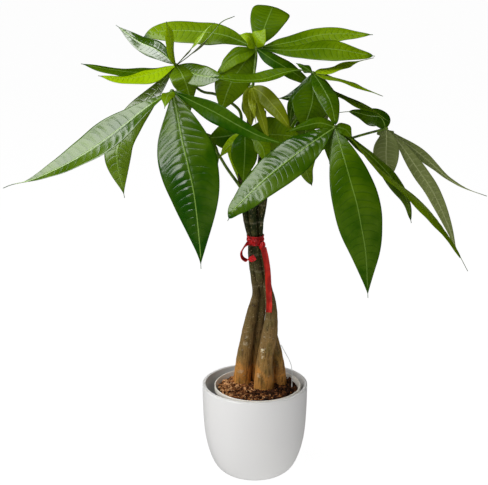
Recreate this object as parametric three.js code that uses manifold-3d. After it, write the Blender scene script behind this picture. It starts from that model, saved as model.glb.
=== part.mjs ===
// Money tree with four braided trunks in a glazed cover pot.
// Millimetres, +Z up, +X to the right, -Y to the front. The origin is the centre of the pot's flat underside.
import * as THREE from "three";
import { mergeVertices } from "three/addons/utils/BufferGeometryUtils.js";
import Module from "manifold-3d";

const wasm = await Module();
wasm.setup();

// Driving dimensions of the cover pot.
const POT_HEIGHT = 120;
const POT_RIM_RADIUS = 67.5;
const POT_BASE_RADIUS = 36;
const POT_WALL = 4;
const POT_FLOOR = 6;
const POT_SIDES = 40;

// Driving dimensions of the plastic nursery pot inside it.
const CLEARANCE = 0.3;
const LINER_TOP = 118.5;
const LINER_RIM_RADIUS = 55.5;
const LINER_BASE_RADIUS = 34;
const LINER_WALL = 1.6;
const LINER_OFFSET = new THREE.Vector3(3.5, -1, POT_FLOOR + CLEARANCE);

// Driving dimensions of the soil.
const SOIL_TOP = 112;
const CHIP_COUNT = 30;
const CHIP_LENGTH = 11;
const ROOT_DEPTH = 55;

// Driving dimensions of the leaves.
const BLADE_THICKNESS = 0.8;
const BLADE_FOLD = -8;
const BLADE_WAVE = 1.4;
const BLADE_WAVES = 2;
const WIDEST_AT = 0.42;
const OPENING = 0.95;
const CLOSING = 1.25;
const DRIP_TIP = 0.02;
const STALKLET_HALF_WIDTH = 0.9;
const TIP_HALF_WIDTH = 0.35;
const BLADE_STATIONS = [0, 0.04, 0.14, 0.28, 0.44, 0.6, 0.76, 0.9, 1];
const SHORT_STATIONS = [0, 0.08, 0.28, 0.52, 0.78, 1];
const PETIOLE_RADIUS = 1.7;
const HUB_RADIUS = 2.8;

// Driving dimensions of the ribbon tied round the stems.
const RIBBON_WIDTH = 7.4;
const RIBBON_THICKNESS = 0.8;
const RIBBON_TWIST_SHARE = 0.3;
const BAND_HEIGHT = 11.6;
const BAND_RADIUS = 9.95;
const BAND_THICKNESS = 0.9;

// The viewpoint in front of the plant. Every place on the plant is given as it is seen from there: how far
// across and down the view, in its picture elements, and how many millimetres it stands toward the viewer
// from the plane of the pot's axis.
const EYE = new THREE.Vector3(-14, -1500, 744);
const VIEW_TILT = THREE.MathUtils.degToRad(16.2);
const VIEW_FOCAL = 1251.5;
const VIEW_CENTRE = [244, 242.5];

const UP = new THREE.Vector3(0, 0, 1);
const RIGHT = new THREE.Vector3(1, 0, 0);
const TOWARD = new THREE.Vector3(0, -1, 0);

const COLOURS = {
  glaze: { color: 0xdedcda, roughness: 0.25, metalness: 0 },
  liner: { color: 0xe9e4d8, roughness: 0.55, metalness: 0 },
  soil: { color: 0x5a3320, roughness: 0.95, metalness: 0 },
  bark: { color: 0x8a6430, roughness: 0.8, metalness: 0 },
  leaf: { color: 0x3f6e16, roughness: 0.3, metalness: 0 },
  young: { color: 0x8fae2c, roughness: 0.35, metalness: 0 },
  ribbon: { color: 0xc4101a, roughness: 0.45, metalness: 0 },
  filament: { color: 0xe6e8e4, roughness: 0.3, metalness: 0 },
};

// The point on the sight line through (across, down) that stands toward millimetres in front of the axis.
function seen([across, down, toward]) {
  const right = (across - VIEW_CENTRE[0]) / VIEW_FOCAL;
  const rise = (VIEW_CENTRE[1] - down) / VIEW_FOCAL;
  const cos = Math.cos(VIEW_TILT);
  const sin = Math.sin(VIEW_TILT);
  const ray = new THREE.Vector3(right, cos + sin * rise, -sin + cos * rise);
  return EYE.clone().addScaledVector(ray, (-toward - EYE.y) / ray.y);
}

// A repeatable random number from 0 to 1.
function seeded(seed) {
  let state = seed;
  return () => {
    state = (state * 1664525 + 1013904223) % 4294967296;
    return state / 4294967296;
  };
}

// A geometry with its shared corners merged, its flat slivers dropped and its faces pointing out.
function closed(geometry) {
  geometry.deleteAttribute("normal");
  geometry.deleteAttribute("uv");
  const welded = mergeVertices(geometry, 1e-4);
  const corners = welded.index.array;
  const place = welded.attributes.position;
  const [a, b, c] = [new THREE.Vector3(), new THREE.Vector3(), new THREE.Vector3()];
  const kept = [];
  let volume = 0;
  for (let i = 0; i < corners.length; i += 3) {
    const [p, q, r] = [corners[i], corners[i + 1], corners[i + 2]];
    if (p === q || q === r || r === p) continue;
    kept.push(p, q, r);
    a.fromBufferAttribute(place, p);
    b.fromBufferAttribute(place, q);
    c.fromBufferAttribute(place, r);
    volume += a.dot(b.cross(c));
  }
  welded.setIndex(volume < 0 ? kept.reverse() : kept);
  return welded;
}

function solid(geometry) {
  const welded = closed(geometry);
  const vertProperties = new Float32Array(welded.attributes.position.array);
  const triVerts = new Uint32Array(welded.index.array);
  return new wasm.Manifold(new wasm.Mesh({ numProp: 3, vertProperties, triVerts }));
}

function geometryOf(manifold) {
  const mesh = manifold.getMesh();
  const geometry = new THREE.BufferGeometry();
  geometry.setAttribute("position", new THREE.BufferAttribute(new Float32Array(mesh.vertProperties), 3));
  geometry.setIndex([...mesh.triVerts]);
  geometry.computeVertexNormals();
  return geometry;
}

function indexed(points, corners) {
  const geometry = new THREE.BufferGeometry();
  geometry.setFromPoints(points);
  geometry.setIndex(corners);
  return geometry;
}

// A turned shape about the Z axis from a profile of [radius, height] pairs.
function turned(profile, sides) {
  const points = profile.map(([radius, height]) => new THREE.Vector2(radius, height));
  return new THREE.LatheGeometry(points, sides).rotateX(Math.PI / 2);
}

function curveThrough(points) {
  return new THREE.CatmullRomCurve3(points, false, "catmullrom", 0.5);
}

function across(direction, reference) {
  return reference.clone().addScaledVector(direction, -reference.dot(direction)).normalize();
}

// A round limb through places with a radius at each.
function limb(points, radii, sides) {
  const curve = curveThrough(points);
  const steps = points.length - 1;
  const run = points[points.length - 1].clone().sub(points[0]).normalize();
  const reference = Math.abs(run.dot(TOWARD)) < 0.8 ? TOWARD : UP;
  const corners = [];
  const rings = [];
  for (let i = 0; i <= steps; i++) {
    const along = curve.getTangent(i / steps);
    const front = across(along, reference);
    const side = new THREE.Vector3().crossVectors(along, front);
    const radius = radii[i];
    const centre = curve.getPoint(i / steps);
    for (let j = 0; j < sides; j++) {
      const angle = (2 * Math.PI * j) / sides;
      const offset = front.clone().multiplyScalar(radius * Math.cos(angle));
      rings.push(centre.clone().add(offset).addScaledVector(side, radius * Math.sin(angle)));
    }
  }
  for (let i = 0; i < steps; i++) {
    for (let j = 0; j < sides; j++) {
      const [p, q] = [i * sides + j, i * sides + ((j + 1) % sides)];
      corners.push(p, q, q + sides, p, q + sides, p + sides);
    }
  }
  const last = steps * sides;
  for (let j = 1; j < sides - 1; j++) {
    corners.push(0, j + 1, j, last, last + j, last + j + 1);
  }
  return indexed(rings, corners);
}

// A closed sheet: rows of points for its top, and the same rows let down along each row's own direction.
function sheet(rows, downs) {
  const width = rows[0].length;
  const top = rows.flat();
  const bottom = rows.flatMap((row, i) => row.map((point) => point.clone().add(downs[i])));
  const offset = top.length;
  const corners = [];
  const wall = (p, q) => corners.push(p, q + offset, p + offset, p, q, q + offset);
  for (let i = 0; i < rows.length - 1; i++) {
    for (let j = 0; j < width - 1; j++) {
      const [p, q] = [i * width + j, (i + 1) * width + j];
      corners.push(p, p + 1, q + 1, p, q + 1, q);
      corners.push(p + offset, q + 1 + offset, p + 1 + offset, p + offset, q + offset, q + 1 + offset);
    }
    wall(i * width, (i + 1) * width);
    wall((i + 2) * width - 1, (i + 1) * width - 1);
  }
  for (let j = 0; j < width - 1; j++) {
    wall(j + 1, j);
    wall((rows.length - 1) * width + j, (rows.length - 1) * width + j + 1);
  }
  return indexed([...top, ...bottom], corners);
}

// The direction that a blade's upper face looks: face degrees over from straight up to the viewer, and
// turn degrees to the right about the upright axis.
function facing(face, turn) {
  const over = THREE.MathUtils.degToRad(face);
  const round = THREE.MathUtils.degToRad(turn);
  const level = TOWARD.clone().multiplyScalar(Math.cos(round)).addScaledVector(RIGHT, Math.sin(round));
  return UP.clone().multiplyScalar(Math.cos(over)).addScaledVector(level, Math.sin(over));
}

// A blade's half width as a share of its greatest, from its stalk at 0 to its tip at 1. It is widest at
// one place, opens to it and closes after it by a power each, and ends in a drip tip of a given share.
function outline(s, { widest = WIDEST_AT, opening = OPENING, closing = CLOSING, drip = DRIP_TIP }) {
  const along = Math.min(s / (1 - drip), 1);
  if (along < widest) return Math.sin((Math.PI / 2) * (along / widest)) ** opening;
  return Math.max(Math.cos((Math.PI / 2) * ((along - widest) / (1 - widest))), 0) ** closing;
}

// One leaflet: a thin blade folded along its midrib, from the hub through the places of its rib.
function leaflet(hub, { rib, width, face, turn = 0, fold = BLADE_FOLD, ...shape }) {
  const curve = curveThrough([hub, ...rib].map(seen));
  const slope = THREE.MathUtils.degToRad(fold);
  const rows = [];
  const downs = [];
  for (const s of rib.length > 2 ? BLADE_STATIONS : SHORT_STATIONS) {
    const centre = curve.getPointAt(s);
    const along = curve.getTangentAt(s);
    const up = across(along, facing(face, turn));
    const side = new THREE.Vector3().crossVectors(along, up);
    const share = outline(s, shape);
    const half = Math.max((width / 2) * share, s < 0.5 ? STALKLET_HALF_WIDTH : TIP_HALF_WIDTH);
    const lift = Math.sin(slope) * half;
    const wave = BLADE_WAVE * share * Math.sin(2 * Math.PI * BLADE_WAVES * s);
    rows.push([
      centre.clone().addScaledVector(side, -half * Math.cos(slope)).addScaledVector(up, lift + wave),
      centre,
      centre.clone().addScaledVector(side, half * Math.cos(slope)).addScaledVector(up, lift - wave),
    ]);
    downs.push(up.multiplyScalar(-BLADE_THICKNESS));
  }
  return solid(sheet(rows, downs));
}

// The cover pot: nearly straight below its rounded rim, curving in to a smaller flat base.
function coverPot() {
  const outer = [
    [0, 0],
    [POT_BASE_RADIUS, 0],
    [POT_BASE_RADIUS + 7, 2.6],
    [POT_BASE_RADIUS + 14.5, 9.5],
    [POT_BASE_RADIUS + 20.5, 21],
    [POT_BASE_RADIUS + 25.5, 37],
    [POT_BASE_RADIUS + 29, 57],
    [POT_RIM_RADIUS - 0.7, 84],
    [POT_RIM_RADIUS, POT_HEIGHT - 4],
    [POT_RIM_RADIUS - 0.4, POT_HEIGHT - 1],
    [POT_RIM_RADIUS - 1.6, POT_HEIGHT],
    [POT_RIM_RADIUS - 3.2, POT_HEIGHT - 0.6],
    [POT_RIM_RADIUS - POT_WALL, POT_HEIGHT - 3],
    [POT_RIM_RADIUS - POT_WALL - 0.6, 84],
    [POT_BASE_RADIUS + 29 - POT_WALL, 57],
    [POT_BASE_RADIUS + 21.5 - POT_WALL, 34],
    [POT_BASE_RADIUS + 12, 15],
    [POT_BASE_RADIUS + 3, POT_FLOOR],
    [0, POT_FLOOR],
  ];
  return solid(turned(outer, POT_SIDES));
}

function linerHeight() {
  return LINER_TOP - LINER_OFFSET.z;
}

// The nursery pot: a thin tapered cup with a small rolled rim.
function liner() {
  const height = linerHeight();
  const profile = [
    [0, 0],
    [LINER_BASE_RADIUS, 0],
    [LINER_RIM_RADIUS - 2, height - 8],
    [LINER_RIM_RADIUS, height - 7],
    [LINER_RIM_RADIUS, height],
    [LINER_RIM_RADIUS - LINER_WALL, height],
    [LINER_RIM_RADIUS - LINER_WALL - 2, height - 9],
    [LINER_BASE_RADIUS - LINER_WALL, LINER_WALL],
    [0, LINER_WALL],
  ];
  return solid(turned(profile, POT_SIDES).translate(...LINER_OFFSET.toArray()));
}

// One flake of bark, lying tilted at a place on the soil.
function chip(random) {
  const size = CHIP_LENGTH * (0.6 + 0.7 * random());
  const geometry = new THREE.BoxGeometry(size, size * (0.35 + 0.3 * random()), size * 0.25);
  const spread = (LINER_RIM_RADIUS - 8 - LINER_WALL) * Math.sqrt(random());
  const angle = 2 * Math.PI * random();
  geometry.rotateX(0.5 * (random() - 0.5));
  geometry.rotateY(0.6 * (random() - 0.5));
  geometry.rotateZ(Math.PI * random());
  const x = LINER_OFFSET.x + spread * Math.cos(angle);
  const y = LINER_OFFSET.y + spread * Math.sin(angle);
  return geometry.translate(x, y, SOIL_TOP + 0.6 + 1.6 * random());
}

// The soil: a plug that fills the nursery pot, heaped with flakes of bark.
function soil() {
  const random = seeded(17);
  const foot = LINER_OFFSET.z + LINER_WALL + CLEARANCE;
  const footRadius = LINER_BASE_RADIUS - LINER_WALL - CLEARANCE;
  const neckRadius = LINER_RIM_RADIUS - LINER_WALL - 2 - CLEARANCE;
  const neck = LINER_TOP - 9;
  const topRadius = neckRadius + (2 * (SOIL_TOP - neck)) / 9 - CLEARANCE;
  const profile = [
    [0, foot],
    [footRadius, foot],
    [neckRadius, neck],
    [topRadius, SOIL_TOP],
    [0, SOIL_TOP + 1],
  ];
  const within = [
    [0, foot],
    [footRadius, foot],
    [neckRadius, neck],
    [neckRadius + 2, LINER_TOP],
    [0, LINER_TOP],
  ];
  const upright = (outline) => solid(turned(outline, POT_SIDES).translate(LINER_OFFSET.x, LINER_OFFSET.y, 0));
  let chips = solid(chip(random));
  for (let i = 1; i < CHIP_COUNT; i++) {
    chips = chips.add(solid(chip(random)));
  }
  return upright(profile).add(chips.intersect(upright(within)));
}

// The four trunks, from their swollen feet up through the braid and the tie to the tops of their stems.
// Each station is the place of the trunk's centre and its radius.
const TRUNKS = {
  trunk_middle: [
    { at: [258.2, 379.4, -30], radius: 9 },
    { at: [258.4, 355, -26], radius: 8 },
    { at: [259, 335, -20], radius: 6.6 },
    { at: [261, 312, -13], radius: 5.5 },
    { at: [262, 293, -8], radius: 5 },
    { at: [259.2, 276, 5], radius: 4.7 },
    { at: [256.3, 258, 6], radius: 4.3 },
    { at: [255.4, 240, 5.8], radius: 3.9 },
    { at: [253.5, 222, 7], radius: 4.1 },
    { at: [252, 205, 8], radius: 4.2 },
    { at: [248.5, 175, 8], radius: 3.9 },
    { at: [248, 145, 7], radius: 3.6 },
    { at: [250, 115, 5], radius: 3.2 },
    { at: [251.5, 100, 4], radius: 2.8 },
  ],
  trunk_front: [
    { at: [263.8, 389, 2], radius: 13 },
    { at: [264.3, 372, 3], radius: 12 },
    { at: [265.6, 355, 4], radius: 9.8 },
    { at: [269.5, 335, 5], radius: 10 },
    { at: [271.3, 314, 5], radius: 7.7 },
    { at: [270.2, 300, 4], radius: 6.8 },
    { at: [267.8, 289, 3], radius: 5.8 },
    { at: [266.6, 275, 0], radius: 4.8 },
    { at: [263.5, 257, 0], radius: 4.3 },
    { at: [260, 240, 0], radius: 3.9 },
    { at: [260.4, 222, 1], radius: 4 },
    { at: [262.6, 209, 2], radius: 4.2 },
    { at: [266, 185, 4], radius: 4 },
    { at: [270, 165, 5], radius: 3.8 },
    { at: [275, 145, 6], radius: 3.4 },
    { at: [280, 128, 6], radius: 3 },
  ],
  trunk_left: [
    { at: [242, 383.5, -19], radius: 11.7 },
    { at: [242.6, 372, -18], radius: 11.2 },
    { at: [244.5, 355, -14], radius: 9.8 },
    { at: [247.7, 335, -10], radius: 8.4 },
    { at: [252, 312, -5], radius: 6.5 },
    { at: [256, 293, -1], radius: 4.8 },
    { at: [253.8, 275, -1], radius: 4.4 },
    { at: [251.2, 255, 0], radius: 4.1 },
    { at: [250.9, 240, 0], radius: 3.9 },
    { at: [247, 222, -1], radius: 4 },
    { at: [245, 209, -3], radius: 4.2 },
    { at: [242, 185, -5], radius: 4 },
    { at: [239.8, 165, -6], radius: 3.7 },
    { at: [239, 148, -6], radius: 3.4 },
    { at: [240, 130, -8], radius: 3 },
  ],
  trunk_right: [
    { at: [279.4, 384.7, -12], radius: 9.5 },
    { at: [279.2, 374, -13], radius: 9 },
    { at: [278, 362, -13], radius: 7.8 },
    { at: [276, 350, -14], radius: 7.2 },
    { at: [272.5, 335, -15], radius: 6.4 },
    { at: [270.5, 314, -16], radius: 5.6 },
    { at: [269.5, 293, -15], radius: 5 },
    { at: [261, 275, -9], radius: 4.4 },
    { at: [256.5, 258, -7], radius: 4.2 },
    { at: [255.4, 240, -5.8], radius: 3.9 },
    { at: [257, 222, -8], radius: 4 },
    { at: [258, 205, -11], radius: 4 },
    { at: [259, 180, -15], radius: 3.8 },
    { at: [261, 155, -19], radius: 3.5 },
    { at: [263, 130, -22], radius: 3.2 },
    { at: [264, 112, -24], radius: 2.8 },
  ],
};

const TRUNK_SIDES = 10;
const TRUNK_TIP = 1.5;

function trunk(stations, growth = 0) {
  const points = stations.map(({ at }) => seen(at));
  const radii = stations.map(({ radius }) => radius + growth);
  const root = points[0].clone().addScaledVector(UP, -ROOT_DEPTH - growth);
  const ankle = points[0].clone().addScaledVector(UP, -ROOT_DEPTH / 2);
  const top = points[points.length - 1];
  const tip = top.clone().sub(points[points.length - 2]).setLength(TRUNK_TIP + growth).add(top);
  const tipRadius = 0.6 * stations[stations.length - 1].radius + growth;
  return solid(limb([root, ankle, ...points, tip], [radii[0] - 1, radii[0], ...radii, tipRadius], TRUNK_SIDES));
}

// The leaves. Each has a hub, a stalk from its stem to the hub, and leaflets with their ribs from the hub out.
const LEAVES = {
  leaf_upper_left: {
    hub: [176, 65, -14],
    stem: "trunk_left",
    stalk: [[240, 133, -8], [241, 115, -6], [234, 105, -4], [216, 94.5, -6], [199, 89.5, -8]],
    leaflets: [
      { rib: [[157, 50, -24], [138, 41, -36], [116, 25, -46]], width: 24, face: 50, turn: -32 },
      { rib: [[171.5, 44, 2], [166, 21.5, 8]], width: 33, face: 40, turn: 45 },
      { rib: [[187, 50, -10], [203, 28, -12], [214, 21, -14]], width: 14, face: -14, turn: -90 },
      {
        rib: [[187, 55, -8], [199, 43.5, -8], [211, 30.5, -8], [223, 21, -10], [235, 16.5, -12]],
        width: 24, face: -8, turn: 60, widest: 0.55, opening: 2.5, closing: 0.9,
      },
      { rib: [[145, 72, -16], [112, 69.5, -14], [81, 63.5, -12]], width: 34, face: 14, closing: 0.85 },
      { rib: [[150, 74, 2], [124, 78.5, 8], [98, 75.5, 10]], width: 37, face: 14, closing: 0.9 },
      {
        rib: [[157, 87, 2], [130, 121, 6], [116, 154, 4], [124.5, 198, 0]],
        width: 38, face: 60, turn: -25, widest: 0.68, opening: 1.4,
      },
      { rib: [[197, 74.5, 8], [221, 77.5, 26]], width: 30, face: 52, turn: -30, opening: 1.1, closing: 0.5 },
      { rib: [[183, 76, 10], [187.5, 88, 10], [192, 108, 8]], width: 32, face: 62, turn: 10, opening: 0.5 },
    ],
  },
  leaf_front_left: {
    hub: [172, 91, 40],
    stem: "trunk_left",
    stalk: [[242.5, 189, -5], [228, 169, 2], [216, 150, 8], [197, 118, 18], [182, 98, 30]],
    leaflets: [
      {
        rib: [
          [150, 104.5, 54], [130, 120, 60], [108, 137, 66], [87, 151.5, 68], [62, 166, 68],
          [32, 179.5, 66], [12, 184.5, 62], [3, 188, 60],
        ],
        width: 45, face: 34, fold: -4, widest: 0.5, opening: 1.3, closing: 1.25, drip: 0.1,
      },
      {
        rib: [
          [178, 112.5, 54], [183, 140, 64], [188.3, 165, 69], [194.5, 197.5, 71], [199.5, 245, 66],
          [201, 269, 60],
        ],
        width: 71, face: 84, turn: -5, widest: 0.4, opening: 1.1,
      },
      {
        rib: [[198, 103.5, 52], [216, 113, 60], [240, 126.5, 69], [262, 137, 76], [288, 145, 80]],
        width: 25, face: 95, fold: -4, opening: 1.2,
      },
      { rib: [[168, 96, 70], [165, 108, 90]], width: 22, face: 30 },
      { rib: [[181, 100, 44], [187, 112, 46]], width: 18, face: 60 },
    ],
  },
  leaf_top: {
    hub: [256, 48, -10],
    stem: "trunk_middle",
    stalk: [[251.2, 103, 4], [253, 85, 6], [254.5, 70, 2], [255.5, 57, -5]],
    leaflets: [
      {
        rib: [[262, 34, -24], [268.5, 17, -46], [273.5, 7, -72], [279, 11, -108]],
        width: 48, face: 45, widest: 0.56,
      },
      {
        rib: [[226, 35.5, -36], [192, 30.5, -46], [160, 31, -48], [142, 37.5, -46]],
        width: 42, face: 36, widest: 0.6, opening: 1.2, closing: 0.65,
      },
      { rib: [[290, 42, -20], [325, 34, -26], [373, 34.5, -24]], width: 36, face: 30, opening: 1.8, closing: 0.8 },
      {
        rib: [[290, 50, -4], [330, 48.5, 6], [375, 56, 10]],
        width: 40, face: 27, widest: 0.58, opening: 1.5, closing: 0.6,
      },
      {
        rib: [[246, 62, 2], [232.5, 84, 7], [222, 112, 9]],
        width: 43, face: 92, widest: 0.5, opening: 0.6, closing: 0.9,
      },
      { rib: [[249, 37, -2], [239, 34.5, -4]], width: 24, face: 35 },
      { rib: [[258, 38, -4], [266, 28, -8]], width: 24, face: 35 },
      {
        rib: [[271, 58.5, 0], [286, 67.5, 2], [299, 76, -1], [312, 86, -4]],
        width: 20, face: 50, opening: 0.8, closing: 0.5,
      },
      { rib: [[241, 53, 0], [228, 61, 6], [218, 74, 8]], width: 26, face: 40, opening: 0.6, closing: 0.8 },
    ],
  },
  leaf_front_right: {
    hub: [335, 127, 44],
    stem: "trunk_front",
    stalk: [[273, 153, 5.6], [293, 145, 14], [316, 134, 30]],
    leaflets: [
      {
        rib: [[300, 144.5, 62], [264, 173, 80], [242, 200, 84], [227, 221, 82]],
        width: 62, face: 58, fold: -26, closing: 1,
      },
      {
        rib: [[345, 154, 60], [351.5, 180, 66], [357.3, 204, 70], [361.3, 226, 70], [366, 255, 66], [368, 298, 56]],
        width: 57, face: 84, turn: 5, widest: 0.46, opening: 0.65, closing: 1.15,
      },
      {
        rib: [[352, 138, 42], [378, 166, 32], [408.5, 195.5, 22], [433, 218.5, 12], [452, 242, 4], [467, 271, 0]],
        width: 42, face: 14, turn: 60, widest: 0.6, opening: 1.3, closing: 0.6, drip: 0.08,
      },
      { rib: [[315.5, 146, 38], [308, 166, 34], [312.5, 186, 30]], width: 23, face: 65, widest: 0.6, closing: 0.8 },
      { rib: [[332, 142, 42], [329.5, 167, 42]], width: 15, face: 85 },
      {
        rib: [[374, 156, 22], [399, 182, 12], [408.5, 200, 6], [411.5, 223, 4]],
        width: 24, face: 50, turn: 40, widest: 0.7, closing: 0.7,
      },
      { rib: [[344, 130, 46], [352, 138, 44]], width: 13, face: 50 },
    ],
  },
  leaf_centre_right: {
    hub: [313, 73, 16],
    stem: "trunk_front",
    stalk: [[273.8, 150, 6], [286, 130, 6], [301, 108, 10], [311, 86, 13]],
    leaflets: [
      {
        rib: [[300, 70, 28], [284, 72.5, 36], [262, 79, 44], [240, 80, 48], [211, 77, 48]],
        width: 26, face: 22, widest: 0.6, opening: 2.2, closing: 0.9,
      },
      { rib: [[345, 80.8, 24], [383, 96, 28]], width: 33, face: 0, closing: 1 },
      { rib: [[339, 66, 4], [352, 62.5, -4], [374, 57.5, -8]], width: 27, face: 6, widest: 0.36, drip: 0.15 },
      { rib: [[322, 86, 36], [331, 103, 50], [336.5, 124, 56]], width: 25, face: 50, turn: 20, closing: 0.7 },
      {
        rib: [[330, 89, 14], [346, 97, 10], [360, 104, 6], [374, 111, 4], [390, 122, 2]],
        width: 25, face: 14, opening: 0.6,
      },
      {
        rib: [[313.5, 84, 24], [312, 104, 32], [304, 129, 34]],
        width: 49, face: 100, fold: -4, widest: 0.55, opening: 1.6, closing: 0.8,
      },
      { rib: [[304, 90, 16], [291, 97, 11], [277, 98.5, 8]], width: 17, face: 90 },
      { rib: [[305, 90, 18], [293, 106, 14], [290, 128, 12]], width: 14, face: 95 },
      { rib: [[307, 67, 12], [297, 62, 10]], width: 10, face: 40 },
    ],
  },
  leaf_far_right: {
    hub: [386, 128.5, -30],
    stem: "trunk_right",
    stalk: [[259, 181, -15], [280, 170, -24], [315, 152, -32], [352, 138, -34]],
    leaflets: [
      {
        rib: [
          [400, 139.5, -40], [415, 150.5, -46], [433, 165.5, -54], [448.5, 178.5, -58], [464.5, 188, -60],
          [487, 196, -60],
        ],
        width: 21, face: -45, widest: 0.34, closing: 1.4, drip: 0.08,
      },
      {
        rib: [
          [400, 143.5, -34], [410.5, 158.5, -36], [420.5, 173, -36], [430.7, 188, -36], [439.2, 205, -36],
          [445.7, 220, -36], [451, 234, -36], [457, 254, -34],
        ],
        width: 22, face: -50, turn: 30, opening: 0.8, closing: 1,
      },
      { rib: [[386.5, 140, -26], [386, 158, -24], [388.5, 182, -22]], width: 34, face: -100, closing: 0.9 },
      {
        rib: [[381, 118.5, -32], [369, 116, -34], [358, 112.5, -34], [347, 111, -34]],
        width: 27, face: 30, opening: 0.5, closing: 0.7,
      },
      { rib: [[388, 130, -78], [392, 146, -140]], width: 26, face: 0 },
    ],
  },
  leaf_young_centre: {
    hub: [251.5, 86.5, 14],
    stem: "trunk_middle",
    stalk: [[249.8, 118, 5], [243, 108, 12], [246, 94, 14]],
    leaflets: [
      { rib: [[249, 96, 22], [250, 108, 28], [251.5, 127, 30]], width: 20, face: 90, opening: 0.6, closing: 0.8 },
      {
        rib: [[262, 95.5, 30], [272.5, 108, 40], [281.5, 118, 44], [289.5, 129, 46]],
        width: 22, face: 80, opening: 0.9, closing: 0.8,
      },
      { rib: [[256, 100, 34], [262, 118, 38], [267, 135, 38], [272, 146, 38]], width: 12, face: 88, opening: 0.7 },
      { rib: [[252.5, 104, 40], [255, 121, 46]], width: 9, face: 60 },
    ],
  },
  leaf_lower_centre: {
    hub: [245, 131, 24],
    stem: "trunk_middle",
    stalk: [[248, 152, 7], [249, 141, 15]],
    leaflets: [
      { rib: [[245, 152, 38], [243, 184, 42]], width: 34, face: 95, opening: 0.7 },
      { rib: [[262, 146, 32], [266, 166, 36]], width: 24, face: 90 },
      { rib: [[227, 134, 22], [208.5, 136.5, 24]], width: 26, face: 60 },
      { rib: [[230, 138, 22], [225.5, 148, 20], [229, 162, 14], [237, 181, 11]], width: 12, face: 60 },
      { rib: [[262, 130, 21], [281, 128, 21], [303, 131, 21]], width: 26, face: 96 },
    ],
  },
  leaf_back_left: {
    hub: [197, 128, -80],
    stem: "trunk_left",
    stalk: [[239.6, 152, -6], [226, 140, -30], [210, 132, -60]],
    leaflets: [
      { rib: [[184, 128, -140], [174, 148, -205]], width: 42, face: 0 },
      { rib: [[203, 130, -140], [204, 156, -200]], width: 44, face: 0 },
      { rib: [[178, 146, -106], [172, 190, -122]], width: 36, face: 30 },
      { rib: [[206, 152, -96], [204, 196, -106]], width: 34, face: 30 },
      { rib: [[216, 130, -110], [236, 138, -130]], width: 34, face: 5 },
    ],
  },
  leaf_back_right: {
    hub: [311, 108, -84],
    stem: "trunk_right",
    stalk: [[263.2, 126, -22.5], [272, 126, -40], [290, 118, -64]],
    leaflets: [
      { rib: [[316, 104, -144], [318, 120, -210]], width: 46, face: -4 },
      { rib: [[302, 105, -140], [298, 123, -200]], width: 40, face: -4 },
      { rib: [[292, 124, -104], [276, 158, -120]], width: 38, face: 20 },
      { rib: [[306, 128, -100], [304, 158, -112]], width: 32, face: 30 },
      { rib: [[322, 112, -110], [328, 132, -128]], width: 24, face: 20 },
    ],
  },
};

function leaf({ hub, stalk, leaflets }, stem) {
  const points = [...stalk, hub].map(seen);
  const radii = points.map((_, i) => PETIOLE_RADIUS + 0.7 * (1 - i / (points.length - 1)));
  let whole = solid(limb(points, radii, 6)).subtract(stem);
  const ball = new THREE.IcosahedronGeometry(HUB_RADIUS, 1).translate(...seen(hub).toArray());
  whole = whole.add(solid(ball));
  for (const each of leaflets) {
    whole = whole.add(leaflet(hub, each));
  }
  return whole;
}

// A flat strip through places, whose width lies along one direction at its start and another at its end.
function strip(places, width, startBreadth, endBreadth) {
  const curve = curveThrough(places.map(seen));
  const steps = 3 * (places.length - 1);
  const rows = [];
  const downs = [];
  for (let i = 0; i <= steps; i++) {
    const along = curve.getTangentAt(i / steps);
    const turned = Math.min(1, i / steps / RIBBON_TWIST_SHARE);
    const side = across(along, startBreadth.clone().lerp(endBreadth, turned));
    const up = new THREE.Vector3().crossVectors(side, along);
    const centre = curve.getPointAt(i / steps).addScaledVector(up, RIBBON_THICKNESS / 2);
    rows.push([-0.5, 0.5].map((share) => centre.clone().addScaledVector(side, share * width)));
    downs.push(up.multiplyScalar(-RIBBON_THICKNESS));
  }
  return solid(sheet(rows, downs));
}

const BAND_PLACE = [255.4, 240.4, 0];
const KNOT_PLACE = [262.4, 245.6, 10];

// The band of ribbon round the stems, with its knot at the right of the front.
function band() {
  const half = BAND_HEIGHT / 2;
  const ring = [
    [BAND_RADIUS, -half],
    [BAND_RADIUS + BAND_THICKNESS, -half],
    [BAND_RADIUS + BAND_THICKNESS, half],
    [BAND_RADIUS, half],
    [BAND_RADIUS, -half],
  ];
  const wrap = solid(turned(ring, 24).translate(...seen(BAND_PLACE).toArray()));
  const knot = new THREE.SphereGeometry(1, 10, 7).scale(3.4, 2.6, 5.2).rotateY(0.35);
  return wrap.add(solid(knot.translate(...seen(KNOT_PLACE).toArray())));
}

const LOOP_PLACES = [
  [252.5, 241.8, 11.7],
  [248, 243.4, 10.9],
  [244.2, 247.2, 11.8],
  [241.4, 252.4, 12],
  [242.4, 257.6, 13],
  [246.6, 260.4, 14],
  [251, 259.4, 15],
  [255, 257, 15.6],
];
const TAIL_PLACES = [
  [263.4, 247.6, 13.06],
  [265.8, 258, 13.5],
  [267.6, 270, 13],
  [268.4, 283, 13.5],
  [269, 296, 14.5],
  [269.2, 306, 16],
  [268.6, 316, 17.5],
];
const FILAMENT_PLACES = [
  [291.9, 386, 2],
  [292, 371.6, 2],
  [290.5, 363, 1],
  [286, 354, 0],
  [281, 345, -1],
];

function filament(growth = 0) {
  const points = FILAMENT_PLACES.map(seen);
  const foot = points[0].clone().addScaledVector(UP, -12 - growth);
  return solid(limb([foot, ...points], Array(points.length + 1).fill(0.7 + growth), 6));
}

const plant = new THREE.Group();

function place(name, manifold, colour) {
  const mesh = new THREE.Mesh(geometryOf(manifold), new THREE.MeshStandardMaterial(COLOURS[colour]));
  mesh.name = name;
  plant.add(mesh);
}

place("outer_pot", coverPot(), "glaze");
place("inner_pot", liner(), "liner");

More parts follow.
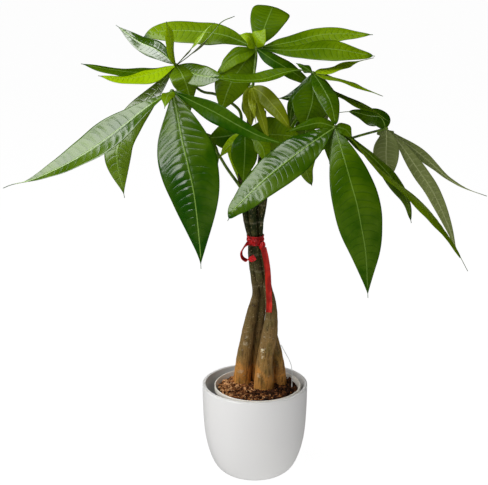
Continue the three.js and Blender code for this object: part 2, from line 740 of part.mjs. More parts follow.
let potting = soil();
const trunks = {};
const grownTrunks = {};
for (const [name, stations] of Object.entries(TRUNKS)) {
  let own = trunk(stations);
  for (const earlier of Object.values(grownTrunks)) {
    own = own.subtract(earlier);
  }
  trunks[name] = own;
  grownTrunks[name] = trunk(stations, CLEARANCE);
  potting = potting.subtract(grownTrunks[name]);
  place(name, own, "bark");
}
place("potting_soil", potting.subtract(filament(CLEARANCE)), "soil");
place("tag_filament", filament(), "filament");

let tie = band();
for (const grown of Object.values(grownTrunks)) {
  tie = tie.subtract(grown);
}
place("ribbon_band", tie, "ribbon");
place("ribbon_loop", strip(LOOP_PLACES, RIBBON_WIDTH, UP, TOWARD), "ribbon");
place("ribbon_tail", strip(TAIL_PLACES, RIBBON_WIDTH, RIGHT, RIGHT), "ribbon");

for (const [name, parts] of Object.entries(LEAVES)) {
  const colour = name === "leaf_young_centre" ? "young" : "leaf";
  place(name, leaf(parts, grownTrunks[parts.stem]), colour);
}

export default plant;
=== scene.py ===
# Money tree with four braided trunks in a glazed cover pot.
# Metres, +Z up, +X to the right, -Y to the front. The origin is the centre of the pot's flat underside.
import math
import random
from dataclasses import dataclass

import bpy
import numpy as np
from mathutils import Euler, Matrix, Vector, noise


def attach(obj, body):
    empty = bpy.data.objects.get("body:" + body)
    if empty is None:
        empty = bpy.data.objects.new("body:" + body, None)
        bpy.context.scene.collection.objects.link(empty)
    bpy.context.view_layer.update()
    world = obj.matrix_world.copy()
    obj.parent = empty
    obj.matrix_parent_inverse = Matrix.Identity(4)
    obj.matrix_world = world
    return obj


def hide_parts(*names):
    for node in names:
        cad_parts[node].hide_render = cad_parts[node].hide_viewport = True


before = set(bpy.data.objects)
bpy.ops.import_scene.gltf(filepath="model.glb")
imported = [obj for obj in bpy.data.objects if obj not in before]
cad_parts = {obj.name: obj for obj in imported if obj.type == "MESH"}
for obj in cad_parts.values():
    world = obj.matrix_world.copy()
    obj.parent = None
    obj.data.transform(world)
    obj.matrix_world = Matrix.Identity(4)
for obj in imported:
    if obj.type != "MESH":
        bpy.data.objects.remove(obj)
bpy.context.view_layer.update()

MM = 0.001
UP = np.array([0.0, 0.0, 1.0])
RIGHT = np.array([1.0, 0.0, 0.0])
TOWARD = np.array([0.0, -1.0, 0.0])
WHITE = (1, 1, 1, 1)

# The viewpoint. Places on the plant are given as they are seen from it: how far across and down the view,
# in its picture elements, and how many millimetres they stand toward the viewer from the pot's axis.
EYE = np.array([-0.014, -1.5, 0.744])
VIEW_TILT = math.radians(16.2)
VIEW_FOCAL = 1251.5
VIEW_WIDTH = 488
VIEW_CENTRE = (244.0, 242.5)
SENSOR_WIDTH = 36.0

# Driving dimensions of the pots and the soil.
POT_HEIGHT = 120 * MM
POT_RIM_RADIUS = 67.5 * MM
POT_BASE_RADIUS = 36 * MM
POT_WALL = 4 * MM
POT_FLOOR = 6 * MM
CLEARANCE = 0.3 * MM
LINER_TOP = 118.5 * MM
LINER_RIM_RADIUS = 55.5 * MM
LINER_BASE_RADIUS = 34 * MM
LINER_WALL = 1.6 * MM
LINER_CENTRE = np.array([3.5 * MM, -1 * MM, POT_FLOOR + CLEARANCE])
SOIL_TOP = 112 * MM
POT_SIDES = 144
LINER_SIDES = 128
SOIL_SIDES = 110
SOIL_RINGS = 44
AXIS_GAP = 0.5 * MM

# The lumps of the soil, and what lies loose on it.
SOIL_LUMP = 9 * MM
SOIL_GRAIN = 3 * MM
FLAKE_COUNT = 900
FLAKE_LENGTH = 7.5 * MM
FLAKE_MARGIN = 5 * MM
FLAKE_TILT = 0.5
CRUMB_COUNT = 700
CRUMB_LENGTH = 2.4 * MM
CRUMB_MARGIN = 2 * MM
CRUMB_TILT = 1.2
CORNER_JITTER = (-0.18, 0.18)
FIBRE_COUNT = 220
FIBRE_RADIUS = 0.22 * MM
FIBRE_MARGIN = 7 * MM

# Driving dimensions of the trunks and their bark.
ROOT_DEPTH = 55 * MM
TRUNK_TIP = 1.5 * MM
TRUNK_SIDES = 40
TRUNK_RING_GAP = 1.1 * MM
BARK_LUMP = 14 * MM
BARK_GRAIN = 3.2 * MM
BARK_PIT = 1.6 * MM
BARK_SMOOTH_HEIGHT = 0.34
BARK_SMOOTHING = 0.2
STEM_NODE_GAP = 21 * MM

# Driving dimensions of the leaves.
BLADE_THICKNESS = 0.55 * MM
BLADE_EDGE_THICKNESS = 0.2 * MM
BLADE_WAVE = 1.4 * MM
BLADE_WAVES = 2
BLADE_RUMPLE_SIZE = 26 * MM
STALKLET_HALF_WIDTH = 0.9 * MM
TIP_HALF_WIDTH = 0.35 * MM
TIP_FROM = 0.92
TIP_OVER = 0.05
RIB_HALF_WIDTH = 0.75 * MM
RIB_GROOVE_WIDTH = 1.4 * MM
RIB_GROOVE_DEPTH = 0.25 * MM
RIB_LINE_HEIGHT = 0.3 * MM
KEEL_WIDTH = 0.8 * MM
KEEL_DEPTH = 0.5 * MM
CELL_ALONG = 1.2 * MM
CELL_ACROSS = 2.4 * MM
VEIN_GAP = 3 * MM
VEIN_GAP_SHARE = 0.03
VEIN_SLANT = 0.1
VEIN_CURL = 0.45
VEIN_WAVER = 0.35
VEIN_WAVER_SIZE = 18 * MM
FIRST_VEIN = 40
PUFF_HEIGHT = 0.06
PETIOLE_RADIUS = 1.7 * MM
HUB_RADIUS = 2.8 * MM

# Driving dimensions of the ribbon.
RIBBON_WIDTH = 7.4 * MM
RIBBON_THICKNESS = 0.5 * MM
RIBBON_TWIST_SHARE = 0.3
RIBBON_RING_GAP = 0.8 * MM
CURL_LEAN = 0.38
CURL_FLAT_FROM = 0.72
CURL_FLAT_OVER = 0.15
BAND_HEIGHT = 11.6 * MM
BAND_RADIUS = 9.95 * MM
BAND_THICKNESS = 0.9 * MM
BAND_CREASE = 0.32 * MM
KNOT_HALF_SIZES = np.array([3.4, 2.6, 5.2]) * MM
FILAMENT_RADIUS = 0.55 * MM
FILAMENT_ROOT = 12 * MM


def seen(places):
    """The points on the sight lines through places of (across, down, toward), in metres."""
    table = np.atleast_2d(np.array(places, float))
    right = (table[:, 0] - VIEW_CENTRE[0]) / VIEW_FOCAL
    rise = (VIEW_CENTRE[1] - table[:, 1]) / VIEW_FOCAL
    cos, sin = math.cos(VIEW_TILT), math.sin(VIEW_TILT)
    rays = np.stack([right, cos + sin * rise, cos * rise - sin], 1)
    reach = (-table[:, 2] * MM - EYE[1]) / rays[:, 1]
    return EYE + rays * reach[:, None]


def through(points, steps=24):
    """A smooth line through points, as close points in order."""
    points = np.asarray(points, float)
    ends = [2 * points[0] - points[1], *points, 2 * points[-1] - points[-2]]
    pieces = []
    for before, start, stop, after in zip(ends, ends[1:], ends[2:], ends[3:]):
        t = np.linspace(0, 1, steps, endpoint=False)[:, None]
        leave, arrive = (stop - before) / 2, (after - start) / 2
        cubic = 2 * start - 2 * stop + leave + arrive
        square = 3 * stop - 3 * start - 2 * leave - arrive
        pieces.append(start + leave * t + square * t**2 + cubic * t**3)
    return np.concatenate([*pieces, points[-1:]])


def lengths_along(line):
    """The distance from the start of a line to each of its points."""
    gaps = np.linalg.norm(np.diff(line[:, :3], axis=0), axis=1)
    return np.concatenate([[0], np.cumsum(gaps)])


def evenly(line, shares):
    """The points of a line at shares of its length, and its directions there."""
    run = lengths_along(line)
    at = np.asarray(shares) * run[-1]
    heading = np.gradient(line[:, :3], run, axis=0)
    points = np.stack([np.interp(at, run, column) for column in line.T], 1)
    along = np.stack([np.interp(at, run, column) for column in heading.T], 1)
    return points, along / np.linalg.norm(along, axis=1, keepdims=True)


def across(along, reference):
    """The part of a reference direction that is square to each direction, as unit vectors."""
    reference = np.broadcast_to(reference, along.shape)
    flat = reference - along * (reference * along).sum(1, keepdims=True)
    return flat / np.linalg.norm(flat, axis=1, keepdims=True)


def fading(values, start, over):
    """How far each value has come from the start, as a share of the stretch after it."""
    return np.clip((values - start) / over, 0, 1)


def roughened(points, scale, seed):
    """Smooth noise from about -1 to 1 at points, with features about scale metres across."""
    shift = Vector((seed * 7.31, seed * 3.17, seed * 5.77))
    flat = np.asarray(points).reshape(-1, 3) / scale
    values = [noise.noise(Vector(p) + shift) for p in flat]
    return np.array(values).reshape(np.asarray(points).shape[:-1])


def grid_faces(rows, columns, wrapped=False):
    """The four-sided faces of a grid of points, closed round its columns if wrapped."""
    spans = columns if wrapped else columns - 1
    i, j = np.meshgrid(np.arange(rows - 1), np.arange(spans), indexing="ij")
    here = i * columns + j
    beside = i * columns + (j + 1) % columns
    return np.stack([here, beside, beside + columns, here + columns], -1).reshape(-1, 4).tolist()


def end_faces(rows, columns):
    """The faces that close the first and the last ring of a wrapped grid."""
    last = (rows - 1) * columns
    return [list(range(columns))[::-1], [last + j for j in range(columns)]]


def margin_faces(rows, columns):
    """The faces that join the edge of a grid to that of a second grid, which is counted after it."""
    under = rows * columns
    faces = []
    for i in range(rows - 1):
        left, right = i * columns, (i + 1) * columns - 1
        faces.append([left, left + columns, left + columns + under, left + under])
        faces.append([right + columns, right, right + under, right + columns + under])
    for j in range(columns - 1):
        start, stop = j, (rows - 1) * columns + j
        faces.append([start + 1, start, start + under, start + 1 + under])
        faces.append([stop, stop + 1, stop + 1 + under, stop + under])
    return faces


def flipped(faces):
    """The same faces, seen from their other side."""
    return [face[::-1] for face in faces]


class Form:
    """Surfaces gathered into one mesh, with values for the materials at each point."""

    VALUES = ("veins", "share", "offset", "tone", "shine")

    def __init__(self):
        self.points = []
        self.faces = []
        self.slots = []
        self.values = {name: [] for name in self.VALUES}
        self.count = 0

    def join(self, faces, first, slot=0):
        """Adds faces between points, which are counted from the first."""
        for face in faces:
            self.faces.append([corner + first for corner in face])
            self.slots.append(slot)

    def add(self, points, faces, slot=0, **values):
        points = np.asarray(points, float).reshape(-1, 3)
        self.join(faces, self.count, slot)
        for name in self.VALUES:
            value = np.asarray(values.get(name, 0.0), float)
            self.values[name].append(np.broadcast_to(value.reshape(-1), (len(points),)))
        self.points.append(points)
        self.count += len(points)

    def piece(self, name, materials, nodes):
        """Makes the object, gives it its materials, and lets it stand for its nodes."""
        mesh = bpy.data.meshes.new(name)
        mesh.from_pydata(np.concatenate(self.points).tolist(), [], self.faces)
        mesh.validate()
        mesh.shade_smooth()
        if len(mesh.polygons) == len(self.slots):
            mesh.polygons.foreach_set("material_index", self.slots)
        for key, parts in self.values.items():
            layer = mesh.attributes.new(key, "FLOAT", "POINT")
            layer.data.foreach_set("value", np.concatenate(parts).astype(np.float32))
        for material in materials:
            mesh.materials.append(material)
        made = bpy.data.objects.new(name, mesh)
        bpy.context.scene.collection.objects.link(made)
        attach(made, "root")
        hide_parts(*nodes)
        return made


def turned(form, profile, sides, centre=(0, 0, 0), slot=0, ripple=None, **values):
    """Adds a shape turned about an upright axis from its [radius, height] pairs."""
    angle = np.linspace(0, 2 * math.pi, sides, endpoint=False)
    profile = np.asarray(profile, float)
    radii, heights = profile[:, :1], np.repeat(profile[:, 1:], sides, 1)
    rings = np.stack([radii * np.cos(angle), radii * np.sin(angle), heights], -1) + np.asarray(centre)
    if ripple is not None:
        rings = ripple(rings)
    form.add(rings, grid_faces(len(profile), sides, wrapped=True), slot, **values)


def tube(form, line, radii, sides, slot=0, reference=TOWARD, **values):
    """Adds a round limb along a line of points, with flat ends."""
    along = np.gradient(line, axis=0)
    along = along / np.linalg.norm(along, axis=1, keepdims=True)
    front = across(along, reference)
    side = np.cross(along, front)
    angle = np.linspace(0, 2 * math.pi, sides, endpoint=False)[None, :, None]
    radii = np.broadcast_to(radii, (len(line),))[:, None, None]
    rings = line[:, None] + radii * (np.cos(angle) * front[:, None] + np.sin(angle) * side[:, None])
    form.add(rings, grid_faces(len(line), sides, wrapped=True), slot, **values)
    form.add(rings, end_faces(len(line), sides), slot, **values)


def ball(height, steps, least):
    """The profile of a ball of radius 1, drawn out or flattened to a half height, with its poles open."""
    angle = np.linspace(-math.pi / 2, math.pi / 2, steps)
    return np.column_stack([np.maximum(np.cos(angle), least), height * np.sin(angle)])


class Shader:
    """A material in the making: it makes nodes, joins them and sets their plain values."""

    def __init__(self, name):
        self.material = bpy.data.materials.new(name)
        self.material.use_nodes = True
        self.tree = self.material.node_tree
        self.surface = self.tree.nodes["Principled BSDF"]

    def put(self, node, socket, value):
        if isinstance(value, bpy.types.NodeSocket):
            self.tree.links.new(value, node.inputs[socket])
        else:
            node.inputs[socket].default_value = value

    def node(self, kind, inputs=None, **settings):
        made = self.tree.nodes.new("ShaderNode" + kind)
        for key, value in settings.items():
            setattr(made, key, value)
        for key, value in (inputs or {}).items():
            self.put(made, key, value)
        return made

    def maths(self, operation, first, second=0.0, clamp=False):
        made = self.node("Math", {0: first, 1: second}, operation=operation, use_clamp=clamp)
        return made.outputs[0]

    def plus(self, first, second, clamp=False):
        return self.maths("ADD", first, second, clamp)

    def minus(self, first, second):
        return self.maths("SUBTRACT", first, second)

    def times(self, first, second):
        return self.maths("MULTIPLY", first, second)

    def size(self, name):
        """How large a value of the mesh is, whatever its sign."""
        return self.maths("ABSOLUTE", self.value(name))

    def value(self, name):
        """A value of the mesh, by its name."""
        return self.node("Attribute", attribute_name=name).outputs["Fac"]

    def place(self):
        return self.node("TexCoord").outputs["Object"]

    def noise(self, scale, detail=3.0, stretch=(1, 1, 1)):
        place = self.node("Mapping", {"Vector": self.place(), "Scale": stretch}).outputs[0]
        inputs = {"Vector": place, "Scale": scale, "Detail": detail}
        return self.node("TexNoise", inputs).outputs["Fac"]

    def between(self, value, low, high, start=0.0, stop=1.0):
        """A smooth step from start to stop, as the value goes from low to high."""
        inputs = {0: value, 1: low, 2: high, 3: start, 4: stop}
        return self.node("MapRange", inputs, interpolation_type="SMOOTHSTEP").outputs[0]

    def mix(self, share, first, second):
        return self.node("Mix", {0: share, 6: first, 7: second}, data_type="RGBA").outputs[2]

    def ramp(self, value, stops):
        """A colour ramp from stops of (position, red, green, blue)."""
        made = self.node("ValToRGB", {0: value})
        band = made.color_ramp
        while len(band.elements) < len(stops):
            band.elements.new(0.5)
        for element, (at, *tint) in zip(band.elements, stops):
            element.position = at
            element.color = colour(*tint)
        return made.outputs[0]

    def bump(self, height, distance, strength):
        inputs = {"Height": height, "Distance": distance, "Strength": strength}
        return self.node("Bump", inputs).outputs[0]

    def finish(self, **inputs):
        """Sets the surface's sockets, by their names with underscores, and gives the material."""
        for name, value in inputs.items():
            self.put(self.surface, name.replace("_", " "), value)
        return self.material


def colour(red, green, blue):
    """A colour given by its 0 to 255 display values, as the linear values that the shaders use."""
    shares = [channel / 255 for channel in (red, green, blue)]
    linear = [c / 12.92 if c <= 0.04045 else ((c + 0.055) / 1.055) ** 2.4 for c in shares]
    return (*linear, 1.0)


def leaf_veins(shader):
    """How much of the midrib and of the side veins there is at each place of a blade."""
    offset = shader.size("offset")
    share = shader.size("share")
    rib = shader.between(offset, 0.25 * MM, 0.9 * MM, 1.0, 0.0)
    turn = shader.maths("PINGPONG", shader.value("veins"), 0.5)
    vein = shader.between(turn, 0.015, 0.12, 1.0, 0.0)
    fade = shader.between(share, 0.55, 0.97, 1.0, 0.0)
    return rib, shader.times(vein, fade), share


def leaf_upper(name, dark, bright, vein_colour, roughness):
    """The glossy upper side of a blade."""
    shader = Shader(name)
    rib, vein, share = leaf_veins(shader)
    blotches = shader.noise(28.0)
    change = shader.between(blotches, 0.3, 0.7, -0.08, 0.08)
    tone = shader.plus(shader.value("tone"), change, clamp=True)
    # The tone mixes in painted light and shade: dark where the blade lies in shade, bright where light
    # comes through it.
    base = shader.mix(tone, dark, bright)
    specks = shader.noise(900.0, 2.0)
    base = shader.mix(shader.between(specks, 0.45, 0.75, 0.0, 0.16), base, dark)
    # Painted shade: the grooves of the side veins are darkened.
    base = shader.mix(shader.times(vein, 0.35), base, dark)
    # The midrib's pale colour is partly a painted highlight: it follows the shine, so it is strongest
    # where the blade is glossiest.
    rib_pale_and_highlight = shader.between(shader.value("shine"), 0.0, 1.0, 0.25, 0.7)
    base = shader.mix(shader.times(rib, rib_pale_and_highlight), base, vein_colour)
    base = shader.mix(shader.between(share, 0.94, 1.0, 0.0, 0.6), base, dark)
    relief = shader.minus(shader.times(specks, 0.1), shader.times(vein, 0.5))
    relief = shader.plus(relief, shader.times(rib, 0.5))
    gloss = shader.between(blotches, 0.35, 0.7, roughness - 0.04, roughness + 0.06)
    return shader.finish(
        Base_Color=base,
        Roughness=shader.plus(shader.times(tone, 0.08), gloss),
        IOR=1.5,
        Specular_IOR_Level=shader.value("shine"),
        Normal=shader.bump(relief, 0.5 * MM, 0.6),
    )


def leaf_under(name, dark, bright, vein_colour):
    """The paler, duller underside of a blade, where the veins stand out."""
    shader = Shader(name)
    rib, vein, share = leaf_veins(shader)
    change = shader.between(shader.noise(35.0), 0.3, 0.7, -0.1, 0.1)
    tone = shader.plus(shader.value("tone"), change, clamp=True)
    # The tone mixes in painted light and shade: dark where the blade lies in shade, bright where light
    # comes through it.
    base = shader.mix(tone, dark, bright)
    specks = shader.noise(1300.0, 2.0)
    base = shader.mix(shader.between(specks, 0.4, 0.7, 0.0, 0.25), base, dark)
    base = shader.mix(shader.times(vein, 0.4), base, vein_colour)
    base = shader.mix(shader.times(rib, 0.85), base, vein_colour)
    relief = shader.plus(vein, shader.times(specks, 0.25))
    bumps = shader.bump(relief, 0.5 * MM, 0.5)
    return shader.finish(Base_Color=base, Roughness=0.55, IOR=1.45, Normal=bumps)


def mottled(name, pattern, edges, tints, roughness, relief):
    """A material whose tint and fine relief both follow one noise pattern."""
    shader = Shader(name)
    mottle = shader.noise(*pattern)
    base = shader.mix(shader.between(mottle, *edges), *tints)
    return shader.finish(Base_Color=base, Roughness=roughness, Normal=shader.bump(mottle, *relief))


def bark_material():
    """Orange-brown cracked bark at the feet, which turns olive and then into dark green above."""
    shader = Shader("bark")
    height = shader.node("SeparateXYZ", {0: shader.place()}).outputs[2]
    drift = shader.between(shader.noise(40.0, 4.0), 0.25, 0.75, -0.014, 0.014)
    level = shader.plus(height, drift)
    stops = [
        (0.0, 226, 156, 72), (0.03, 206, 144, 70), (0.07, 150, 116, 62), (0.16, 124, 98, 56),
        (0.3, 106, 86, 46), (0.46, 78, 66, 34), (0.62, 50, 52, 20), (0.75, 30, 40, 10), (1.0, 26, 38, 10),
    ]
    base = shader.ramp(shader.between(level, 0.1, 0.42), stops)
    warm = shader.between(shader.noise(70.0, 3.0, (1, 1, 0.5)), 0.5, 0.7, 0.0, 0.6)
    low = shader.between(height, 0.12, 0.17, 1.0, 0.0)
    base = shader.mix(shader.times(warm, low), base, colour(214, 138, 50))
    moss = shader.between(shader.noise(95.0, 4.0, (1, 1, 0.6)), 0.5, 0.68, 0.0, 0.5)
    base = shader.mix(moss, base, colour(88, 84, 36))
    streaks = shader.noise(420.0, 5.0, (1, 1, 0.14))
    base = shader.mix(shader.between(streaks, 0.5, 0.66, 0.0, 0.55), base, colour(62, 44, 20))
    flecks = shader.noise(700.0, 2.0, (1, 1, 0.7))
    base = shader.mix(shader.between(flecks, 0.62, 0.72, 0.0, 0.55), base, colour(196, 172, 122))
    base = shader.mix(shader.between(flecks, 0.36, 0.26, 0.0, 0.8), base, colour(40, 28, 12))
    # Painted shade: the dark marks in the crevices between the trunks and low on their right.
    base = shader.mix(shader.value("share"), base, colour(44, 24, 14))
    base = shader.mix(shader.value("tone"), base, colour(232, 222, 188))
    relief = shader.minus(flecks, shader.times(streaks, 1.6))
    return shader.finish(
        Base_Color=base,
        Roughness=shader.between(height, 0.24, 0.4, 0.7, 0.45),
        Specular_IOR_Level=0.2,
        Normal=shader.bump(relief, 1.2 * MM, 0.75),
    )


def soil_material():
    """Bark and coir from nearly black to pale, by the tone of each loose piece."""
    shader = Shader("soil")
    grain = shader.noise(700.0, 4.0)
    tone = shader.plus(shader.value("tone"), shader.between(grain, 0.3, 0.7, -0.2, 0.2), clamp=True)
    stops = [
        (0.0, 26, 14, 9), (0.3, 68, 38, 20), (0.6, 118, 72, 38), (0.85, 182, 122, 72),
        (1.0, 222, 172, 120),
    ]
    bumps = shader.bump(grain, 0.8 * MM, 0.8)
    base = shader.ramp(tone, stops)
    return shader.finish(Base_Color=base, Roughness=0.9, Specular_IOR_Level=0.1, Normal=bumps)


def glaze_material():
    """The cover pot's white glaze, faintly clouded and pitted."""
    shader = Shader("glaze")
    clouds = shader.noise(14.0)
    tints = colour(231, 230, 229), colour(233, 232, 230)
    pinholes = shader.noise(1600.0, 2.0)
    return shader.finish(
        Base_Color=shader.mix(shader.between(clouds, 0.3, 0.7), *tints),
        Roughness=shader.between(clouds, 0.3, 0.7, 0.42, 0.46),
        Coat_Weight=0.2,
        Coat_Roughness=0.3,
        Normal=shader.bump(pinholes, 0.12 * MM, 0.35),
    )


def ribbon_material(name, light, dark):
    """Satin with a fine weave and a soft sheen."""
    shader = Shader(name)
    inputs = {"Vector": shader.place(), "Scale": 900.0, "Distortion": 1.5, "Detail": 1.0}
    threads = shader.node("TexWave", inputs, bands_direction="Z").outputs["Fac"]
    creases = shader.noise(180.0, 3.0, (1, 1, 0.3))
    base = shader.mix(shader.between(creases, 0.35, 0.7), dark, light)
    # Painted shade and sheen: the satin is darker in its creases and lighter on their crests.
    relief = shader.plus(creases, shader.times(threads, 0.2))
    return shader.finish(
        Base_Color=shader.mix(shader.times(threads, 0.18), base, dark),
        Roughness=0.34,
        Specular_IOR_Level=0.35,
        Sheen_Weight=0.05,
        Normal=shader.bump(relief, 0.4 * MM, 0.6),
    )


def filament_material():
    """The pale plastic of the filament."""
    shader = Shader("filament")
    base = shader.mix(shader.noise(300.0), colour(226, 230, 228), colour(240, 242, 240))
    return shader.finish(Base_Color=base, Roughness=0.25)


GROWN_SIDES = [
    leaf_upper("leaf_upper", colour(24, 66, 1), colour(146, 178, 3), colour(150, 186, 84), 0.19),
    leaf_under("leaf_under", colour(70, 84, 22), colour(140, 150, 84), colour(160, 168, 112)),
]
YOUNG_SIDES = [
    leaf_upper("young_upper", colour(84, 98, 1), colour(146, 160, 4), colour(186, 198, 70), 0.35),
    leaf_under("young_under", colour(90, 98, 14), colour(138, 152, 24), colour(160, 168, 80)),
]
STALK_TINTS = colour(56, 84, 8), colour(104, 132, 30)
STALK = mottled("leaf_stalk", (260.0, 4.0, (1, 1, 0.2)), (0.35, 0.65), STALK_TINTS, 0.42, (0.3 * MM, 0.5))
BARK = bark_material()
SOIL = soil_material()
GLAZE = glaze_material()
LINER_TINTS = colour(238, 232, 220), colour(246, 242, 232)
LINER = mottled("liner_plastic", (500.0, 2.0), (0.3, 0.7), LINER_TINTS, 0.5, (0.15 * MM, 0.4))
SATIN = ribbon_material("satin", colour(222, 8, 12), colour(128, 0, 2))
SATIN_TAIL = ribbon_material("satin_tail", colour(214, 34, 4), colour(146, 12, 2))
FILAMENT = filament_material()


def stepped(radius, height, steps):
    """Profile points, from how many millimetres each lies out from a radius and up from a height."""
    return [(radius + out * MM, height + up * MM) for out, up in steps]


def outer_pot():
    """The cover pot: nearly straight below its rounded rim, curving in to a smaller flat base."""
    foot = [(-3, 0), (0, 0.1), (7, 2.6), (14.5, 9.5), (20.5, 21), (25.5, 37), (29, 57)]
    rim = [(-0.7, -36), (0, -4), (-0.4, -1), (-1.6, 0), (-3.2, -0.6)]
    outside = [
        *stepped(POT_BASE_RADIUS, 0, foot),
        *stepped(POT_RIM_RADIUS, POT_HEIGHT, rim),
        *stepped(POT_RIM_RADIUS - POT_WALL, POT_HEIGHT, [(0, -3), (-0.6, -36)]),
        *stepped(POT_BASE_RADIUS - POT_WALL, 0, [(29, 57), (21.5, 34), (16, 15)]),
        (POT_BASE_RADIUS + 3 * MM, POT_FLOOR),
    ]
    profile = [(AXIS_GAP, 0), *through(outside, 5), (AXIS_GAP, POT_FLOOR)]
    form = Form()
    turned(form, profile, POT_SIDES)
    form.piece("cover_pot", [GLAZE], ["outer_pot"])


def inner_pot():
    """The nursery pot: a thin tapered cup with a small rolled rim."""
    height = LINER_TOP - LINER_CENTRE[2]
    rim = [(-2, -8), (-0.2, -7), (0, -5), (0, -0.8), (-0.3, -0.2), (-0.8, 0)]
    profile = [
        (AXIS_GAP, 0),
        (LINER_BASE_RADIUS, 0),
        *stepped(LINER_RIM_RADIUS, height, rim),
        *stepped(LINER_RIM_RADIUS - LINER_WALL, height, [(0.2, -0.15), (0, -0.8), (-2, -9)]),
        (LINER_BASE_RADIUS - LINER_WALL, LINER_WALL),
        (AXIS_GAP, LINER_WALL),
    ]
    form = Form()
    turned(form, profile, LINER_SIDES, LINER_CENTRE)
    form.piece("nursery_pot", [LINER], ["inner_pot"])


# The four trunks. Each station is the place of the trunk's centre and its radius in millimetres.
TRUNKS = {
    "trunk_middle": [
        (255.8, 379.4, -30, 9.4), (256.2, 355, -26, 8.5), (257.8, 335, -20, 6.8), (261, 312, -13, 5.5),
        (262, 293, -8, 5), (259.2, 276, 5, 4.7), (256.3, 258, 6, 4.3), (255.4, 240, 5.8, 3.9),
        (253, 222, 7, 4.5), (251.5, 205, 8, 4.7), (248.5, 175, 8, 3.9), (248, 145, 7, 3.6),
        (250, 115, 5, 3.2), (251.5, 100, 4, 2.8),
    ],
    "trunk_front": [
        (263.8, 389, 2, 13), (264.3, 372, 3, 12), (265.6, 355, 4, 9.8), (269.5, 335, 5, 10),
        (271.3, 314, 5, 7.7), (270.2, 300, 4, 6.8), (267.8, 289, 3, 5.8), (265.2, 275, 0, 5.1),
        (261.8, 257, 0, 4.7), (260, 240, 0, 3.9), (260.4, 222, 1, 4), (262.6, 209, 2, 4.2),
        (266, 185, 4, 4), (270, 165, 5, 3.8), (275, 145, 6, 3.4), (280, 128, 6, 3),
    ],
    "trunk_left": [
        (242, 383.5, -19, 11.7), (242.6, 372, -18, 11.2), (244.5, 355, -14, 9.8),
        (247.7, 335, -10, 8.4), (252, 312, -5, 6.5), (256, 293, -1, 4.8), (253.8, 275, -1, 4.4),
        (251.2, 255, 0, 4.1), (250.9, 240, 0, 3.9), (247, 222, -1, 4), (245, 209, -3, 4.2),
        (242, 185, -5, 4), (239.8, 165, -6, 3.7), (239, 148, -6, 3.4), (240, 130, -8, 3),
    ],
    "trunk_right": [
        (279.4, 384.7, -12, 9.5), (279.2, 374, -13, 9), (278, 362, -13, 7.8), (276, 350, -14, 7.2),
        (272.5, 335, -15, 6.4), (270.5, 314, -16, 5.6), (269.5, 293, -15, 5), (261, 275, -9, 4.4),
        (256.5, 258, -7, 4.2), (255.4, 240, -5.8, 3.9), (257, 222, -8, 4), (258, 205, -11, 4),
        (259, 180, -15, 3.8), (261, 155, -19, 3.5), (263, 130, -22, 3.2), (264, 112, -24, 2.8),
    ],
}

# The marks on the trunks: the place of each, its reach in millimetres, and how pale or dark it is. The
# dark ones are painted shade, in the crevices between the trunks and low on their right.
PALE_MARKS = [
    (261.3, 350.5, 13, 3.4, 1.0), (262.5, 357, 14, 2.2, 0.8), (245.5, 344, -2, 3.4, 0.5),
    (246.5, 337, -2, 2.4, 0.4), (249.5, 361, -3, 3.0, 0.5), (261.2, 226, 6, 2.2, 0.5),
    (260.8, 243, 5, 1.6, 0.4), (241, 372, -7, 4.0, 0.5), (257, 376, 14, 4.0, 0.4),
]
PAINTED_SHADE_MARKS = [
    (254.5, 306, 3, 3.4, 0.9), (255, 311.5, 2, 2.4, 0.6), (259.8, 268.5, 8, 3.4, 0.8),
    (259, 301, 4, 3.0, 0.4), (270, 345, 14, 4.0, 0.3), (280, 383, -3, 12.0, 0.45),
    (279, 371, -5, 10.0, 0.4),
]


def marked(marks, places, speckle):
    """How strongly each place is marked: most at the marks' middles, and broken up by a speckle."""
    strength = np.zeros(speckle.shape)
    for *place, reach, most in marks:
        apart = np.linalg.norm(places - seen(place)[0], axis=-1) / (reach * MM)
        speckled = 2 * np.exp(-(apart**2)) + 1.6 * speckle - 0.9
        strength = np.maximum(strength, most * np.clip(speckled, 0, 1))
    return strength


